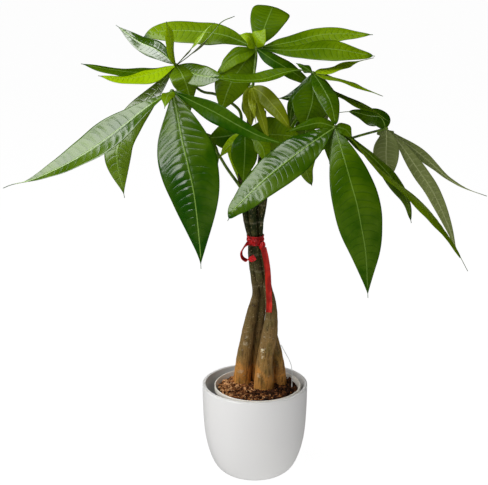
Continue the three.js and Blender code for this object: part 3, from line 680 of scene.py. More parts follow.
def trunk(name, stations, seed):
    """One trunk, from its swollen foot in the soil to the top of its stem, with bark, scars and patches
    of painted shade.
    """
    places = seen([station[:3] for station in stations])
    radii = np.array([station[3] * MM for station in stations])
    root = places[0] - UP * ROOT_DEPTH
    ankle = places[0] - UP * ROOT_DEPTH / 2
    rise = places[-1] - places[-2]
    tip = places[-1] + rise / np.linalg.norm(rise) * TRUNK_TIP
    points = np.array([root, ankle, *places, tip])
    widths = np.array([radii[0] - 1 * MM, radii[0], *radii, 0.6 * radii[-1]])
    line = through(np.column_stack([points, widths]))
    count = int(lengths_along(line)[-1] / TRUNK_RING_GAP)
    centres, along = evenly(line, np.linspace(0, 1, count))
    front = across(along, TOWARD)
    side = np.cross(along, front)
    angle = np.linspace(0, 2 * math.pi, TRUNK_SIDES, endpoint=False)[None, :, None]
    outward = np.cos(angle) * front[:, None] + np.sin(angle) * side[:, None]
    smooth = centres[:, None, :3] + centres[:, None, 3:] * outward
    height = smooth[..., 2]
    coarse = np.clip((BARK_SMOOTH_HEIGHT - height) / BARK_SMOOTHING, 0.12, 1)
    lumps = roughened(smooth * [1, 1, 0.6], BARK_LUMP, seed)
    grain = roughened(smooth * [1, 1, 0.35], BARK_GRAIN, seed + 1)
    pits = roughened(smooth, BARK_PIT, seed + 2)
    from_node = np.abs(np.mod(height + 1.5 * MM * lumps, STEM_NODE_GAP) / STEM_NODE_GAP - 0.5) * 2
    ridge = fading(from_node, 0.86, 0.14) * fading(height, 0.17, 0.1)
    swell = coarse * (0.6 * lumps + 0.3 * grain) + 0.2 * ridge + 0.15 * grain
    points = smooth + outward * (swell * MM)[..., None]
    pale = np.clip(ridge * 0.1 + marked(PALE_MARKS, smooth, pits), 0, 1)
    # The share carries the painted shade of the dark marks.
    looks = {"tone": pale, "share": marked(PAINTED_SHADE_MARKS, smooth, pits)}
    form = Form()
    form.add(points, grid_faces(count, TRUNK_SIDES, wrapped=True), **looks)
    form.add(points, end_faces(count, TRUNK_SIDES), **looks)
    form.piece(name + "_bark", [BARK], [name])


def box_corners(size):
    """The corners and faces of a box of a size, centred on the origin."""
    halves = (-0.5, 0.5)
    corners = np.array([[x, y, z] for x in halves for y in halves for z in halves])
    faces = [[0, 1, 3, 2], [4, 6, 7, 5], [0, 4, 5, 1], [2, 3, 7, 6], [0, 2, 6, 4], [1, 5, 7, 3]]
    return corners * size, faces


def soil():
    """Bark and coir soil: a heaped plug, with shreds of bark, crumbs and fibres lying on it."""
    luck = random.Random(17)
    foot = LINER_CENTRE[2] + LINER_WALL + CLEARANCE
    foot_radius = LINER_BASE_RADIUS - LINER_WALL - CLEARANCE
    neck_radius = LINER_RIM_RADIUS - LINER_WALL - 2 * MM - CLEARANCE
    neck = LINER_TOP - 9 * MM
    top_radius = neck_radius + 2 * (SOIL_TOP - neck) / 9 - CLEARANCE
    profile = [(AXIS_GAP, foot), (foot_radius, foot), (neck_radius, neck)]
    for share in np.linspace(1, 0.01, SOIL_RINGS):
        profile.append((top_radius * share, SOIL_TOP + MM * (1 - share)))
    centre = np.array([LINER_CENTRE[0], LINER_CENTRE[1], 0])

    def heaped(rings):
        level = rings[..., 2]
        from_rim = top_radius - np.linalg.norm(rings[..., :2] - centre[:2], axis=-1)
        lumps = roughened(rings, SOIL_LUMP, 3) * 1.6 + roughened(rings, SOIL_GRAIN, 4) * 0.9
        heap = np.clip(from_rim / (3 * MM), 0, 1) * lumps * MM
        rings[..., 2] = np.where(level > SOIL_TOP - 0.001 * MM, level + heap, level)
        return rings

    form = Form()
    turned(form, profile, SOIL_SIDES, centre, ripple=heaped, tone=0.22)
    feet = [(seen(stations[0][:3])[0], stations[0][3] * MM) for stations in TRUNKS.values()]

    def painted_soil_light(spot):
        """How pale the soil is at a place, as painted light: palest at the left and at the back."""
        return 0.46 - 8 * (spot[0] - centre[0]) + 1.5 * (spot[1] - centre[1])

    def free_place(margin):
        while True:
            spread = (top_radius - margin) * math.sqrt(luck.random())
            angle = 2 * math.pi * luck.random()
            spot = centre + [spread * math.cos(angle), spread * math.sin(angle), 0]
            if all(np.linalg.norm(spot[:2] - at[:2]) > radius for at, radius in feet):
                return spot

    # Each kind has its number, its usual length, how far it keeps from the rim, and how far it tilts.
    kinds = {
        "flake": (FLAKE_COUNT, FLAKE_LENGTH, FLAKE_MARGIN, FLAKE_TILT),
        "crumb": (CRUMB_COUNT, CRUMB_LENGTH, CRUMB_MARGIN, CRUMB_TILT),
    }
    for kind, (amount, length, margin, tilt) in kinds.items():
        for _ in range(amount):
            long = length * (0.5 + luck.random())
            broad = long * (0.14 + 0.3 * luck.random()) if kind == "flake" else long * 0.7
            corners, faces = box_corners((long, broad, broad * (0.35 + 0.4 * luck.random())))
            jitter = [[luck.uniform(*CORNER_JITTER) * broad for _ in range(3)] for _ in corners]
            turn = Euler((luck.gauss(0, tilt), luck.gauss(0, 0.35), luck.uniform(0, 6.3)))
            spot = free_place(margin)
            spot[2] = SOIL_TOP + MM * luck.uniform(0.2, 2.4)
            placed = (corners + jitter) @ np.array(turn.to_matrix()).T + spot
            # Each piece's tone spreads about the painted light at its place.
            form.add(placed, faces, tone=min(1, max(0, luck.gauss(painted_soil_light(spot), 0.27))))
    for _ in range(FIBRE_COUNT):
        start = free_place(FIBRE_MARGIN)
        heading = luck.uniform(0, 2 * math.pi)
        route = [start + [0, 0, SOIL_TOP + luck.uniform(0.5, 2) * MM]]
        for _ in range(3):
            heading += luck.gauss(0, 0.6)
            step = luck.uniform(1.5, 3.2) * MM
            rise = luck.gauss(0, 0.5) * MM
            route.append(route[-1] + [step * math.cos(heading), step * math.sin(heading), rise])
        if all(np.linalg.norm(point[:2] - centre[:2]) < top_radius - 1 * MM for point in route):
            tube(form, through(route, 3), FIBRE_RADIUS, 4, reference=UP, tone=luck.uniform(0.45, 1))
    form.piece("bark_soil", [SOIL], ["potting_soil"])


@dataclass
class Blade:
    """The measures of one leaflet: its size in millimetres, its lie in degrees, and its looks."""

    # The places along its rib after the hub, its greatest width, and how far its upper side looks
    # toward the viewer rather than up. The turn swings that side to the right, and the fold lifts or
    # drops the halves about the rib.
    rib: list
    width: float
    face: float
    turn: float = 0
    fold: float = -8
    # Where along the rib it is widest, how slim it is before and after that, and its tip's share.
    widest: float = 0.42
    opening: float = 0.95
    closing: float = 1.25
    drip: float = 0.02
    # Tone is painted light and shade: it goes from 0, dark as in shade, to 1, bright with painted light
    # coming through, and glow is the painted light that it gains from the hub to the tip. Shine is the
    # gloss, and the matt tip the share of it that is lost toward the tip, or gained if it is below 0.
    tone: float = 0.25
    glow: float = 0.12
    shine: float = 0.8
    matt_tip: float = 0.0
    # How strongly it swells between its veins, and how many millimetres it waves at random.
    puff: float = 0.6
    rumple: float = 1.5


# The leaves. Each has the place of its hub, the places along its stalk from the stem, and leaflets.
LEAVES = {
    "leaf_upper_left": (
        (176, 65, -14),
        [(240, 133, -8), (241, 115, -6), (234, 105, -4), (216, 94.5, -6), (199, 89.5, -8)],
        Blade([(157, 50, -24), (138, 41, -36), (116, 25, -46)],
              24, 44, -32, tone=0.15, shine=1.8, puff=0.2, rumple=1.0),
        Blade([(172, 44, 2), (166.5, 21.5, 8)], 35, 40, 45, opening=0.5, tone=1.0, shine=0.2),
        Blade([(189, 51, -10), (204, 31.5, -12), (214.5, 22.5, -14)], 14, -14, -90, tone=0.8),
        Blade([(189, 55.5, -8), (201, 44.5, -8), (212, 31, -8), (222.5, 21, -10), (234.5, 16, -12)],
              24, -8, 60, widest=0.55, opening=2.5, closing=0.9, tone=0.3),
        Blade([(145, 72, -16), (112, 69.5, -14), (81, 63.5, -12)],
              34, 14, closing=0.85, tone=0.15, shine=0.3),
        Blade([(150, 74, 2), (124, 78.5, 8), (98, 75.5, 10)], 37, 14, closing=0.9, tone=1.0, shine=0.1),
        Blade([(158.5, 87, -14), (130.5, 121, -8), (117, 154, -1), (124.5, 198, 4)],
              37, 70, -16, widest=0.68, opening=1.05, tone=0.3, shine=2.0, matt_tip=0.85, puff=0.3),
        Blade([(197, 74.5, 8), (221, 77.5, 26)], 30, 52, -30, opening=1.1, closing=0.5, tone=0.2),
        Blade([(183, 76, 10), (187.5, 88, 10), (192, 108, 8)],
              32, 62, 10, opening=0.5, tone=0.3, shine=0.4),
    ),
    "leaf_front_left": (
        (172, 91, 40),
        [(242.5, 189.5, -5), (227.5, 169, 2), (216, 150.5, 8), (195, 121, 18), (181, 99, 30)],
        Blade([(150, 104.5, 54), (130, 120, 60), (108, 137, 66), (87, 151.5, 68), (62, 166, 68),
               (32, 179.5, 66), (12, 184.5, 62), (3, 188, 60)],
              45, 34, fold=12, widest=0.5, opening=1.3, drip=0.1, tone=0.2, shine=1.0, puff=0.8,
              rumple=1.0),
        Blade([(177, 112.5, 52), (182, 140, 64), (187.8, 165, 72), (194.5, 197.5, 77),
               (199.7, 245, 74), (201, 269, 68)],
              70, 76, -5, widest=0.4, opening=1.08, closing=1.3, tone=0.08, glow=-0.2, shine=0.5,
              matt_tip=-0.9, puff=1.1),
        Blade([(198, 104, 52), (216, 113, 60), (240, 126.5, 69), (262, 137, 76), (288, 145, 80)],
              25, 106, fold=8, opening=1.15, tone=0.05, shine=0.1),
        Blade([(167, 97, 66), (164.5, 108.5, 82)], 16, 30, tone=0.4, shine=0.2),
        Blade([(182, 100, 44), (190, 113, 46)], 20, 60, closing=0.6, tone=0.2),
    ),
    "leaf_top": (
        (256, 48, -10),
        [(251.2, 103, 4), (253, 85, 6), (254.5, 70, 2), (255.5, 57, -5)],
        Blade([(262, 34, -24), (268.5, 17, -46), (273.5, 7, -72), (279, 11, -108)],
              48, 45, widest=0.56, tone=0.26, glow=0.3, shine=0.3),
        Blade([(226, 35.5, -36), (192, 30.5, -46), (160, 31, -48), (142, 37.5, -46)],
              42, 36, widest=0.6, opening=1.1, closing=0.65, tone=0.38, glow=0.5, shine=0.3),
        Blade([(290, 42, -20), (325, 34, -26), (373, 34.5, -24)],
              36, 30, opening=1.6, closing=0.75, tone=0.36, glow=0.5, shine=0.3),
        Blade([(290, 50, -4), (330, 48.5, 6), (375, 56, 10)],
              41, 27, widest=0.58, opening=1.5, closing=0.55, tone=0.28, glow=0.5, shine=0.3),
        Blade([(245, 62, 2), (231, 84, 7), (220.5, 112, 9)],
              43, 100, widest=0.5, opening=0.6, closing=0.9, tone=0.3, glow=0.3, shine=0.2),
        Blade([(249, 37, -2), (239, 34.5, -4)], 24, 35, tone=0.75, shine=0.2),
        Blade([(258, 38, -4), (266, 28, -8)], 24, 35, tone=0.75, shine=0.2),
        Blade([(271, 58.5, 0), (286, 67.5, 2), (299, 76, -1), (312, 86, -4)],
              20, 50, opening=0.8, closing=0.5, tone=0.12, shine=0.05),
        Blade([(241, 53, 0), (229, 61.5, 6), (220, 74, 8)],
              24, 40, opening=0.6, closing=0.8, tone=0.3, shine=0.1),
    ),
    "leaf_front_right": (
        (335, 127, 44),
        [(273, 153, 5.6), (293, 145, 14), (316, 134, 30)],
        Blade([(303, 149, 66), (268, 176.5, 80), (245, 198.5, 84), (234.5, 209, 84), (227.5, 221, 82)],
              45, 58, -4, fold=-6, closing=0.6, tone=0.14, shine=0.75, puff=1.0, rumple=5.0),
        Blade([(343, 154, 60), (350.3, 180, 66), (357, 204, 70), (361.3, 226, 70), (366, 255, 66),
               (368, 298, 56)],
              57, 84, 5, widest=0.46, opening=0.9, closing=1.15, tone=0.12, glow=-0.1, shine=0.4,
              matt_tip=0.6, puff=0.4),
        Blade([(352, 138.5, 42), (377.5, 167, 32), (409, 193, 22), (434, 217, 12), (452.3, 242, 4),
               (468, 271, 0)],
              45, 20, 60, widest=0.66, opening=1.4, closing=0.4, drip=0.08, tone=0.5, shine=0.3),
        Blade([(313.5, 146, 38), (306, 166, 34), (312, 186, 30)],
              20, 65, widest=0.6, closing=0.6, tone=0.35, shine=0.3),
        Blade([(331, 143, 42), (329.5, 164, 42)], 17, 85, opening=0.7, tone=0.12, shine=0.1),
        Blade([(372.5, 157, 22), (396, 183, 12), (407.5, 201, 6), (411.5, 223, 4)],
              23.5, 50, 40, widest=0.7, closing=0.7, tone=0.2),
        Blade([(345, 129, 46), (352, 137, 44)],
              16, 60, 20, opening=0.6, closing=0.7, tone=0.22, shine=0.05),
        Blade([(320, 123, 46), (303, 126.5, 50), (286, 132, 54)],
              14, 80, widest=0.35, opening=0.4, tone=0.15, shine=0.05),
    ),
    "leaf_centre_right": (
        (313, 73, 16),
        [(273.8, 150, 6), (286, 130, 6), (301, 108, 10), (311, 86, 13)],
        Blade([(300, 70, 28), (284, 72.5, 36), (262, 79, 44), (240, 80, 48), (211, 77, 48)],
              26, 22, fold=12, widest=0.6, opening=2.2, closing=0.9, shine=0.4),
        Blade([(345, 80.5, 24), (383, 96, 28)], 33, 0, widest=0.35, closing=1.1, tone=0.6, shine=0.3),
        Blade([(339, 66, 4), (352, 62.5, -4), (374, 57.5, -8)],
              27, 6, widest=0.36, drip=0.15, tone=1.0, shine=0.3),
        Blade([(322, 86, 36), (331, 103, 50), (336, 125.5, 56)],
              26, 60, 20, closing=0.5, tone=0.15, shine=0.35),
        Blade([(330, 89, 14), (346, 97, 10), (360, 104, 6), (374, 111, 4), (390, 122, 2)],
              25, 14, opening=0.6, tone=0.3),
        Blade([(313.5, 84, 24), (312, 104, 32), (304, 129, 34)],
              49, 100, 12, widest=0.55, opening=1.6, closing=0.75, tone=0.18, shine=0.25, puff=0.2),
        Blade([(304, 90, 16), (291, 97, 11), (277, 98.5, 8)], 17, 90, tone=0.0),
        Blade([(305, 90, 18), (292.5, 106, 14), (289.5, 128, 12)], 17, 95, tone=0.1, shine=0.3),
        Blade([(305.5, 67.5, 12), (296, 63, 10)], 11, 40, tone=0.1, shine=0.05),
    ),
    "leaf_far_right": (
        (386, 128.5, -30),
        [(259, 181, -15), (280, 170, -24), (315, 152, -32), (352, 138, -34)],
        Blade([(400, 138.5, -40), (415, 149.3, -46), (433, 164.3, -54), (448.5, 177.8, -58),
               (464.5, 187.8, -60), (487, 196, -60)],
              15.5, -45, widest=0.34, opening=0.9, closing=1.4, drip=0.08, tone=0.5),
        Blade([(400, 143.5, -34), (410.5, 158.5, -36), (420.5, 173, -36), (430.7, 188, -36),
               (439.2, 205, -36), (445.7, 220, -36), (451, 234, -36), (457, 254, -34)],
              19.5, -50, 30, opening=1.2, closing=0.9, tone=0.6),
        Blade([(386.5, 140, -26), (386, 158, -24), (388.5, 182, -22)], 33, -100, closing=0.8, tone=0.4),
        Blade([(381, 117.5, -32), (369, 115.5, -34), (357, 112.5, -34), (348, 111.5, -34),
               (338, 112.5, -34)],
              31, 30, widest=0.35, opening=0.5, closing=0.7, drip=0.2, tone=0.14),
        Blade([(385.5, 132, -78), (390, 148, -140)], 22, 0, tone=0.1),
    ),
    "leaf_young_centre": (
        (251.5, 86.5, 14),
        [(249.8, 118, 5), (243, 108, 12), (246, 94, 14)],
        Blade([(249, 96, 22), (250, 108, 28), (251.5, 127, 30)],
              17, 90, 14, opening=0.6, closing=0.8, shine=0.2),
        Blade([(262.5, 93.5, 30), (273.5, 105.5, 40), (282.5, 116.5, 44), (290, 129, 46)],
              21, 90, 14, opening=0.8, closing=0.7, shine=0.2),
        Blade([(256, 100, 34), (262, 118, 38), (267, 135, 38), (272, 146, 38)],
              13, 90, 14, opening=0.7, tone=0.35, shine=0.2),
        Blade([(252.5, 104, 40), (256, 123, 46)], 10, 90, 14, tone=0.6, shine=0.3),
    ),
    "leaf_lower_centre": (
        (245, 131, 24),
        [(248, 152, 7), (249, 141, 15)],
        Blade([(245, 152, 38), (243, 184, 42)], 34, 98, 14, opening=0.7, tone=0.15, shine=0.15),
        Blade([(262, 146, 32), (266, 166, 36)], 24, 96, 14, tone=0.3, shine=0.15),
        Blade([(228, 136, 22), (208, 138, 24)],
              32, 85, 12, widest=0.5, closing=0.9, tone=0.1, shine=0.1),
        Blade([(234, 138, 22), (232, 148, 20), (234.5, 163, 14), (238.5, 182, 11)],
              12, 60, tone=0.9, shine=0.1),
        Blade([(235, 141, 26), (226, 149, 26), (219, 158.5, 24)], 15, 70, tone=0.8, shine=0.1),
        Blade([(262, 134, 21), (282, 135, 21), (305, 138, 21)], 42, 96, 14, tone=0.3, shine=0.15),
    ),
    "leaf_back_left": (
        (197, 128, -80),
        [(239.6, 152, -6), (226, 145, -30), (210, 138, -60)],
        Blade([(184, 128, -140), (174, 148, -205)], 42, 0, tone=0.2),
        Blade([(203, 138, -134), (204, 159, -200)], 38, 0, tone=0.2),
        Blade([(178, 146, -106), (172, 190, -122)], 36, 30, tone=0.2),
        Blade([(206, 152, -96), (204, 196, -106)], 34, 30, tone=0.2),
        Blade([(213, 138, -106), (232, 147, -124)], 34, 5, tone=0.2),
    ),
    "leaf_back_right": (
        (311, 108, -84),
        [(263.2, 126, -22.5), (272, 126, -40), (290, 118, -64)],
        Blade([(316, 104, -144), (318, 120, -210)], 46, -4, tone=0.2),
        Blade([(302, 105, -140), (298, 123, -200)], 40, -4, tone=0.2),
        Blade([(292, 124, -104), (276, 158, -120)], 38, 20, tone=0.2),
        Blade([(306, 128, -100), (304, 158, -112)], 32, 30, tone=0.2),
        Blade([(322, 112, -110), (328, 132, -128)], 24, 20, tone=0.2),
    ),
}


def outline(s, blade):
    """A blade's half width as a share of its greatest, from its stalk at 0 to its drawn-out tip at 1."""
    widest = blade.widest
    along = s / (1 - blade.drip)
    opening = np.sin(math.pi / 2 * np.clip(along / widest, 0, 1)) ** blade.opening
    closing = np.cos(math.pi / 2 * fading(along, widest, 1 - widest)) ** blade.closing
    return np.where(along < widest, opening, closing)


def add_blade(form, hub, blade, seed):
    """Adds one leaflet: a thin blade with a midrib, side veins, swellings and a wavy margin."""
    line = through(seen([hub, *blade.rib]))
    length = lengths_along(line)[-1]
    rows = int(np.clip(round(length / CELL_ALONG), 26, 200))
    s = np.linspace(0, 1, rows)
    centre, along = evenly(line, s)
    face, turn, fold = (math.radians(angle) for angle in (blade.face, blade.turn, blade.fold))
    level = math.cos(turn) * TOWARD + math.sin(turn) * RIGHT
    up = across(along, math.cos(face) * UP + math.sin(face) * level)
    side = np.cross(along, up)
    shape = outline(s, blade)
    least = np.where(s < 0.5, STALKLET_HALF_WIDTH, TIP_HALF_WIDTH)
    half_width = blade.width * MM / 2
    half = np.maximum(half_width * shape, least)[:, None]
    s, shape = s[:, None], shape[:, None]

    # The columns of the grid, by their share of the way from the rib to the margin.
    columns = int(np.clip(round(half_width / CELL_ACROSS), 4, 15))
    rib_share = np.minimum(RIB_HALF_WIDTH * (1.15 - 0.8 * s) / half, 0.5)
    outer = rib_share + (1 - rib_share) * np.linspace(0, 1, columns + 1)[None, :]
    share = np.concatenate([-outer[:, ::-1], np.zeros((rows, 1)), outer], 1)
    reach = np.abs(share)
    from_rib = np.abs(share * half)

    # The side veins, counted along the blade, and the swellings between them. The two sides take turns,
    # and the count starts high enough to stay above 0.
    spacing = VEIN_GAP + VEIN_GAP_SHARE * length
    veins = (s * length - from_rib * (VEIN_SLANT + VEIN_CURL * reach**2)) / spacing
    unfolded = centre[:, None] + side[:, None] * (share * half)[..., None]
    veins = veins + VEIN_WAVER * roughened(unfolded, VEIN_WAVER_SIZE, seed)
    veins = veins + 0.5 * (share > 0) + 0.13 * seed + FIRST_VEIN
    swell = np.abs(np.sin(math.pi * veins)) ** 0.8
    swell = swell * np.clip(reach / 0.2, 0, 1) * (1 - reach**5) * np.clip(shape * 1.6, 0, 1)

    # The fold along the rib, the wavy margin, and the upper and under side.
    flat = centre[:, None] + side[:, None] * (share * half * math.cos(fold))[..., None]
    lift = math.sin(fold) * half * reach**1.5
    lift = lift - BLADE_WAVE * shape * np.sin(2 * math.pi * BLADE_WAVES * s) * share * reach
    rumple = blade.rumple * MM * roughened(flat, BLADE_RUMPLE_SIZE, seed)
    rumple = rumple * reach * np.clip(shape * 2, 0, 1)
    groove = RIB_GROOVE_DEPTH * np.exp(-((from_rib / RIB_GROOVE_WIDTH) ** 2))
    groove = (groove - RIB_LINE_HEIGHT * (share == 0)) * (reach < 0.5)
    height = lift + blade.puff * PUFF_HEIGHT * spacing * swell + rumple - groove
    top = flat + up[:, None] * height[..., None]
    thickness = BLADE_EDGE_THICKNESS + (BLADE_THICKNESS - BLADE_EDGE_THICKNESS) * (1 - reach**6)
    keel = KEEL_DEPTH * np.exp(-((from_rib / KEEL_WIDTH) ** 2)) * (1.1 - 0.8 * s)
    bottom = top - up[:, None] * (thickness + keel)[..., None]

    # The looks: the tip is dark, and its rib doesn't show.
    tip = fading(s, TIP_FROM, TIP_OVER)
    # The tone is painted light and shade, and the glow adds painted light toward the tip.
    tone = (blade.tone + blade.glow * (s - 0.5)) * (1 - 0.8 * tip)
    shine = blade.shine * (1 - blade.matt_tip * s)
    looks = {
        "veins": veins,
        "share": share,
        "offset": from_rib + 2 * MM * tip,
        "tone": np.clip(tone, 0, 1) + 0 * share,
        "shine": shine + 0 * share,
    }
    width = share.shape[1]
    faces = grid_faces(rows, width)
    first = form.count
    form.add(top, faces, 0, **looks)
    form.add(bottom, flipped(faces), 1, **looks)
    form.join(margin_faces(rows, width), first)


def leaf(name, number, hub, stalk, *blades):
    """One palmate leaf: its stalk, the swollen hub, and its leaflets."""
    form = Form()
    for index, blade in enumerate(blades):
        add_blade(form, hub, blade, 11 * number + index)
    line = through(seen([*stalk, hub]), 10)
    share = lengths_along(line) / lengths_along(line)[-1]
    swell = 0.9 * np.exp(-((share / 0.05) ** 2)) + 0.6 * np.exp(-(((1 - share) / 0.05) ** 2))
    radii = (PETIOLE_RADIUS + 0.6 * MM * (1 - share)) * (0.86 + 0.25 * swell)
    spreads = abs(line[-1][0] - line[0][0]) > 30 * MM
    tube(form, line, radii, 14, slot=2, reference=UP if spreads else TOWARD)
    turned(form, ball(0.8, 12, 0.03) * HUB_RADIUS, 18, seen(hub)[0], slot=2)
    young = name == "leaf_young_centre"
    sides = YOUNG_SIDES if young else GROWN_SIDES
    form.piece(name + "_blades", [*sides, STALK], [name])


BAND_PLACE = (255.4, 239.2, 0)
KNOT_PLACE = (262.4, 245.6, 10)
LOOP_MIDDLE = (250.5, 251, 13)
LOOP_PLACES = [
    (252.5, 241.8, 11.7), (248, 243.4, 10.9), (244.2, 247.2, 11.8), (241.4, 252.4, 12),
    (242.4, 257.6, 13), (246.6, 260.4, 14), (251, 259.4, 15), (255, 257, 15.6),
]
TAIL_PLACES = [
    (263.4, 247.6, 13.06), (265.8, 258, 13.5), (267.6, 270, 13), (268.4, 283, 13.5),
    (269, 296, 14.5), (269.2, 305, 16), (268.8, 312.5, 17.2),
]
FILAMENT_PLACES = [(291.9, 386, 2), (292, 371.6, 2), (290.5, 363, 1), (286, 354, 0), (281, 345, -1)]


def ribbon_band():
    """The wraps of ribbon round the stems, creased where they are pulled tight, with the knot."""
    half = BAND_HEIGHT / 2
    rise = np.linspace(-half, half, 30)
    outer = BAND_RADIUS + BAND_THICKNESS - 0.15 * MM * (rise / half) ** 4
    inside = [(BAND_RADIUS, level) for level in np.linspace(half, -half, 8)]
    profile = [*zip(outer, rise), *inside, (outer[0], -half)]
    centre = seen(BAND_PLACE)[0]

    def creased(rings):
        reach = np.linalg.norm(rings[..., :2] - centre[:2], axis=-1)
        angle = np.arctan2(rings[..., 1] - centre[1], rings[..., 0] - centre[0])
        level = (rings[..., 2] - centre[2]) / half
        folds = np.cos(6 * level + 0.9 * np.sin(2 * angle))
        folds = folds + 0.6 * roughened(rings * [1, 1, 2.5], 5 * MM, 9)
        push = np.where(reach > BAND_RADIUS + 0.3 * MM, BAND_CREASE * folds, 0)
        rings[..., :2] += (rings[..., :2] - centre[:2]) / reach[..., None] * push[..., None]
        return rings

    def knotted(rings):
        flat = rings.reshape(-1, 3)
        around = np.arctan2(flat[:, 1], flat[:, 0])
        pleats = 1 + 0.09 * np.cos(5 * around + 3 * flat[:, 2]) + 0.12 * roughened(flat, 0.7, 12)
        shaped = flat * pleats[:, None] * KNOT_HALF_SIZES
        turn = np.array(Euler((0, 0.35, 0)).to_matrix())
        return (shaped @ turn.T + seen(KNOT_PLACE)[0]).reshape(rings.shape)

    form = Form()
    turned(form, profile, 110, centre, ripple=creased)
    turned(form, ball(1, 26, 0.02), 44, ripple=knotted)
    form.piece("ribbon_tie", [SATIN], ["ribbon_band"])


def strip(name, node, places, breadths, cup, material, curl=None):
    """A ribbon through places, with its route and length. It is cupped by some millimetres, and twists
    from the first breadth to the second. A curl opens away from its middle."""
    line = through(seen(places))
    length = lengths_along(line)[-1]
    rows = int(length / RIBBON_RING_GAP) + 1
    s = np.linspace(0, 1, rows)
    centre, along = evenly(line, s)
    start, stop = breadths
    twisted = fading(s, 0, RIBBON_TWIST_SHARE)[:, None]
    breadth = start * (1 - twisted) + stop * twisted
    if curl is not None:
        outward = centre - seen(curl)[0]
        outward[:, 1] = 0
        outward = outward / np.linalg.norm(outward, axis=1, keepdims=True)
        breadth = breadth + CURL_LEAN * twisted * outward
        flat_end = fading(s, CURL_FLAT_FROM, CURL_FLAT_OVER)[:, None]
        breadth = breadth * (1 - flat_end) + start * flat_end
    side = across(along, breadth)
    up = np.cross(side, along)
    share = np.linspace(-0.5, 0.5, 13)[None, :]
    bend = cup * MM * (0.25 - share**2) * np.ones((rows, 1))
    middle = centre[:, None] + side[:, None] * (share * RIBBON_WIDTH)[..., None]
    middle = middle + up[:, None] * (bend + 0.12 * MM * roughened(middle, 4 * MM, 21))[..., None]
    top = middle + up[:, None] * RIBBON_THICKNESS / 2
    bottom = middle - up[:, None] * RIBBON_THICKNESS / 2
    ring = np.concatenate([top, bottom[:, ::-1]], 1)
    sides = ring.shape[1]
    form = Form()
    form.add(ring, flipped(grid_faces(rows, sides, wrapped=True)))
    form.add(ring, flipped(end_faces(rows, sides)))
    made = form.piece(name, [material], [node])


def filament():
    """The thin pale tag filament that stands in the soil."""
    points = seen(FILAMENT_PLACES)
    form = Form()
    tube(form, through([points[0] - UP * FILAMENT_ROOT, *points], 12), FILAMENT_RADIUS, 10)
    form.piece("filament", [FILAMENT], ["tag_filament"])


# The lights: the place of each, what it is aimed at, its width and height, and its power in watts.
LIGHTS = [
    ("window", (-0.86, -0.36, 1.5), (-0.05, -0.05, 0.4), 1.5, 0.9, 18.0),
    ("side_panel", (-0.72, -1.2, 0.8), (-0.05, -0.06, 0.3), 0.42, 0.78, 5.2),
    ("low_panel", (-1.27, -0.28, 0.83), (-0.05, -0.06, 0.45), 1.5, 0.65, 11.0),
    ("high_panel", (0.0, -0.84, 1.62), (0.0, -0.06, 0.45), 0.7, 0.45, 3.6),
    ("overhead", (0.0, 0.3, 1.9), (0.0, 0.0, 0.1), 0.9, 0.9, 5.0),
]
FLOOR_REACH = 30.0
FLOOR_GLOW = 0.98
SURROUND_GLOW = 0.03


def surround_light(tree, strength):
    """The light of a white surround of one strength."""
    glow = tree.nodes.new("ShaderNodeBackground")
    glow.inputs["Color"].default_value = WHITE
    glow.inputs["Strength"].default_value = strength
    return glow.outputs[0]


def either_light(tree, chooser, usual, chosen):
    """The usual light of the surround, or another for the rays that the chooser names."""
    blend = tree.nodes.new("ShaderNodeMixShader")
    for socket, source in enumerate((chooser, usual, chosen)):
        tree.links.new(source, blend.inputs[socket])
    return blend.outputs[0]


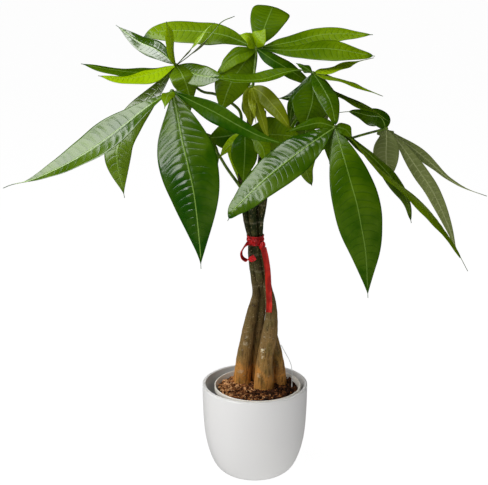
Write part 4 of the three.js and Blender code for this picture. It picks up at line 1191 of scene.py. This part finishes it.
def studio():
    """The camera at the viewpoint, a white floor and surround, and soft lights."""
    scene = bpy.context.scene
    lens = bpy.data.cameras.new("camera")
    lens.sensor_width = SENSOR_WIDTH
    lens.lens = VIEW_FOCAL / VIEW_WIDTH * SENSOR_WIDTH
    lens.clip_end = 50
    camera = bpy.data.objects.new("camera", lens)
    camera.location = EYE
    camera.rotation_euler = (math.pi / 2 - VIEW_TILT, 0, 0)
    scene.collection.objects.link(camera)
    scene.camera = camera
    scene.view_settings.view_transform = "Standard"

    plane = bpy.data.meshes.new("floor")
    corners = [(x * FLOOR_REACH, y * FLOOR_REACH, 0) for x, y in ((-1, -1), (1, -1), (1, 1), (-1, 1))]
    plane.from_pydata(corners, [], [(0, 1, 2, 3)])
    floor = bpy.data.objects.new("floor", plane)
    paper = Shader("floor")
    white = paper.mix(paper.noise(3.0), (0.05, 0.05, 0.05, 1), (0.06, 0.06, 0.06, 1))
    paper.finish(Base_Color=white, Roughness=1.0, Emission_Color=WHITE, Emission_Strength=FLOOR_GLOW)
    plane.materials.append(paper.material)
    floor.visible_glossy = False
    scene.collection.objects.link(floor)

    world = bpy.data.worlds.new("surround")
    world.use_nodes = True
    scene.world = world
    tree = world.node_tree
    rays = tree.nodes.new("ShaderNodeLightPath")
    dim, dark, bright = (surround_light(tree, strength) for strength in (SURROUND_GLOW, 0.0, 1.0))
    shine = either_light(tree, rays.outputs["Is Glossy Ray"], dim, dark)
    backdrop = either_light(tree, rays.outputs["Is Camera Ray"], shine, bright)
    tree.links.new(backdrop, tree.nodes["World Output"].inputs[0])

    for name, place, aim, width, height, power in LIGHTS:
        lamp = bpy.data.lights.new(name, "AREA")
        lamp.shape = "RECTANGLE"
        lamp.size = width
        lamp.size_y = height
        lamp.energy = power
        made = bpy.data.objects.new(name, lamp)
        made.location = place
        toward = Vector(aim) - Vector(place)
        made.rotation_euler = toward.to_track_quat("-Z", "Y").to_euler()
        made.visible_glossy = name != "overhead"
        made.visible_diffuse = name != "low_panel"
        scene.collection.objects.link(made)


studio()
strip("ribbon_curl", "ribbon_loop", LOOP_PLACES, (UP, TOWARD), 1.2, SATIN, curl=LOOP_MIDDLE)
strip("ribbon_end", "ribbon_tail", TAIL_PLACES, (RIGHT, RIGHT), 2.4, SATIN_TAIL)
ribbon_band()
outer_pot()
inner_pot()
for number, (name, stations) in enumerate(TRUNKS.items()):
    trunk(name, stations, 5 * number)
soil()
filament()
for number, (name, parts) in enumerate(LEAVES.items()):
    leaf(name, number, *parts)
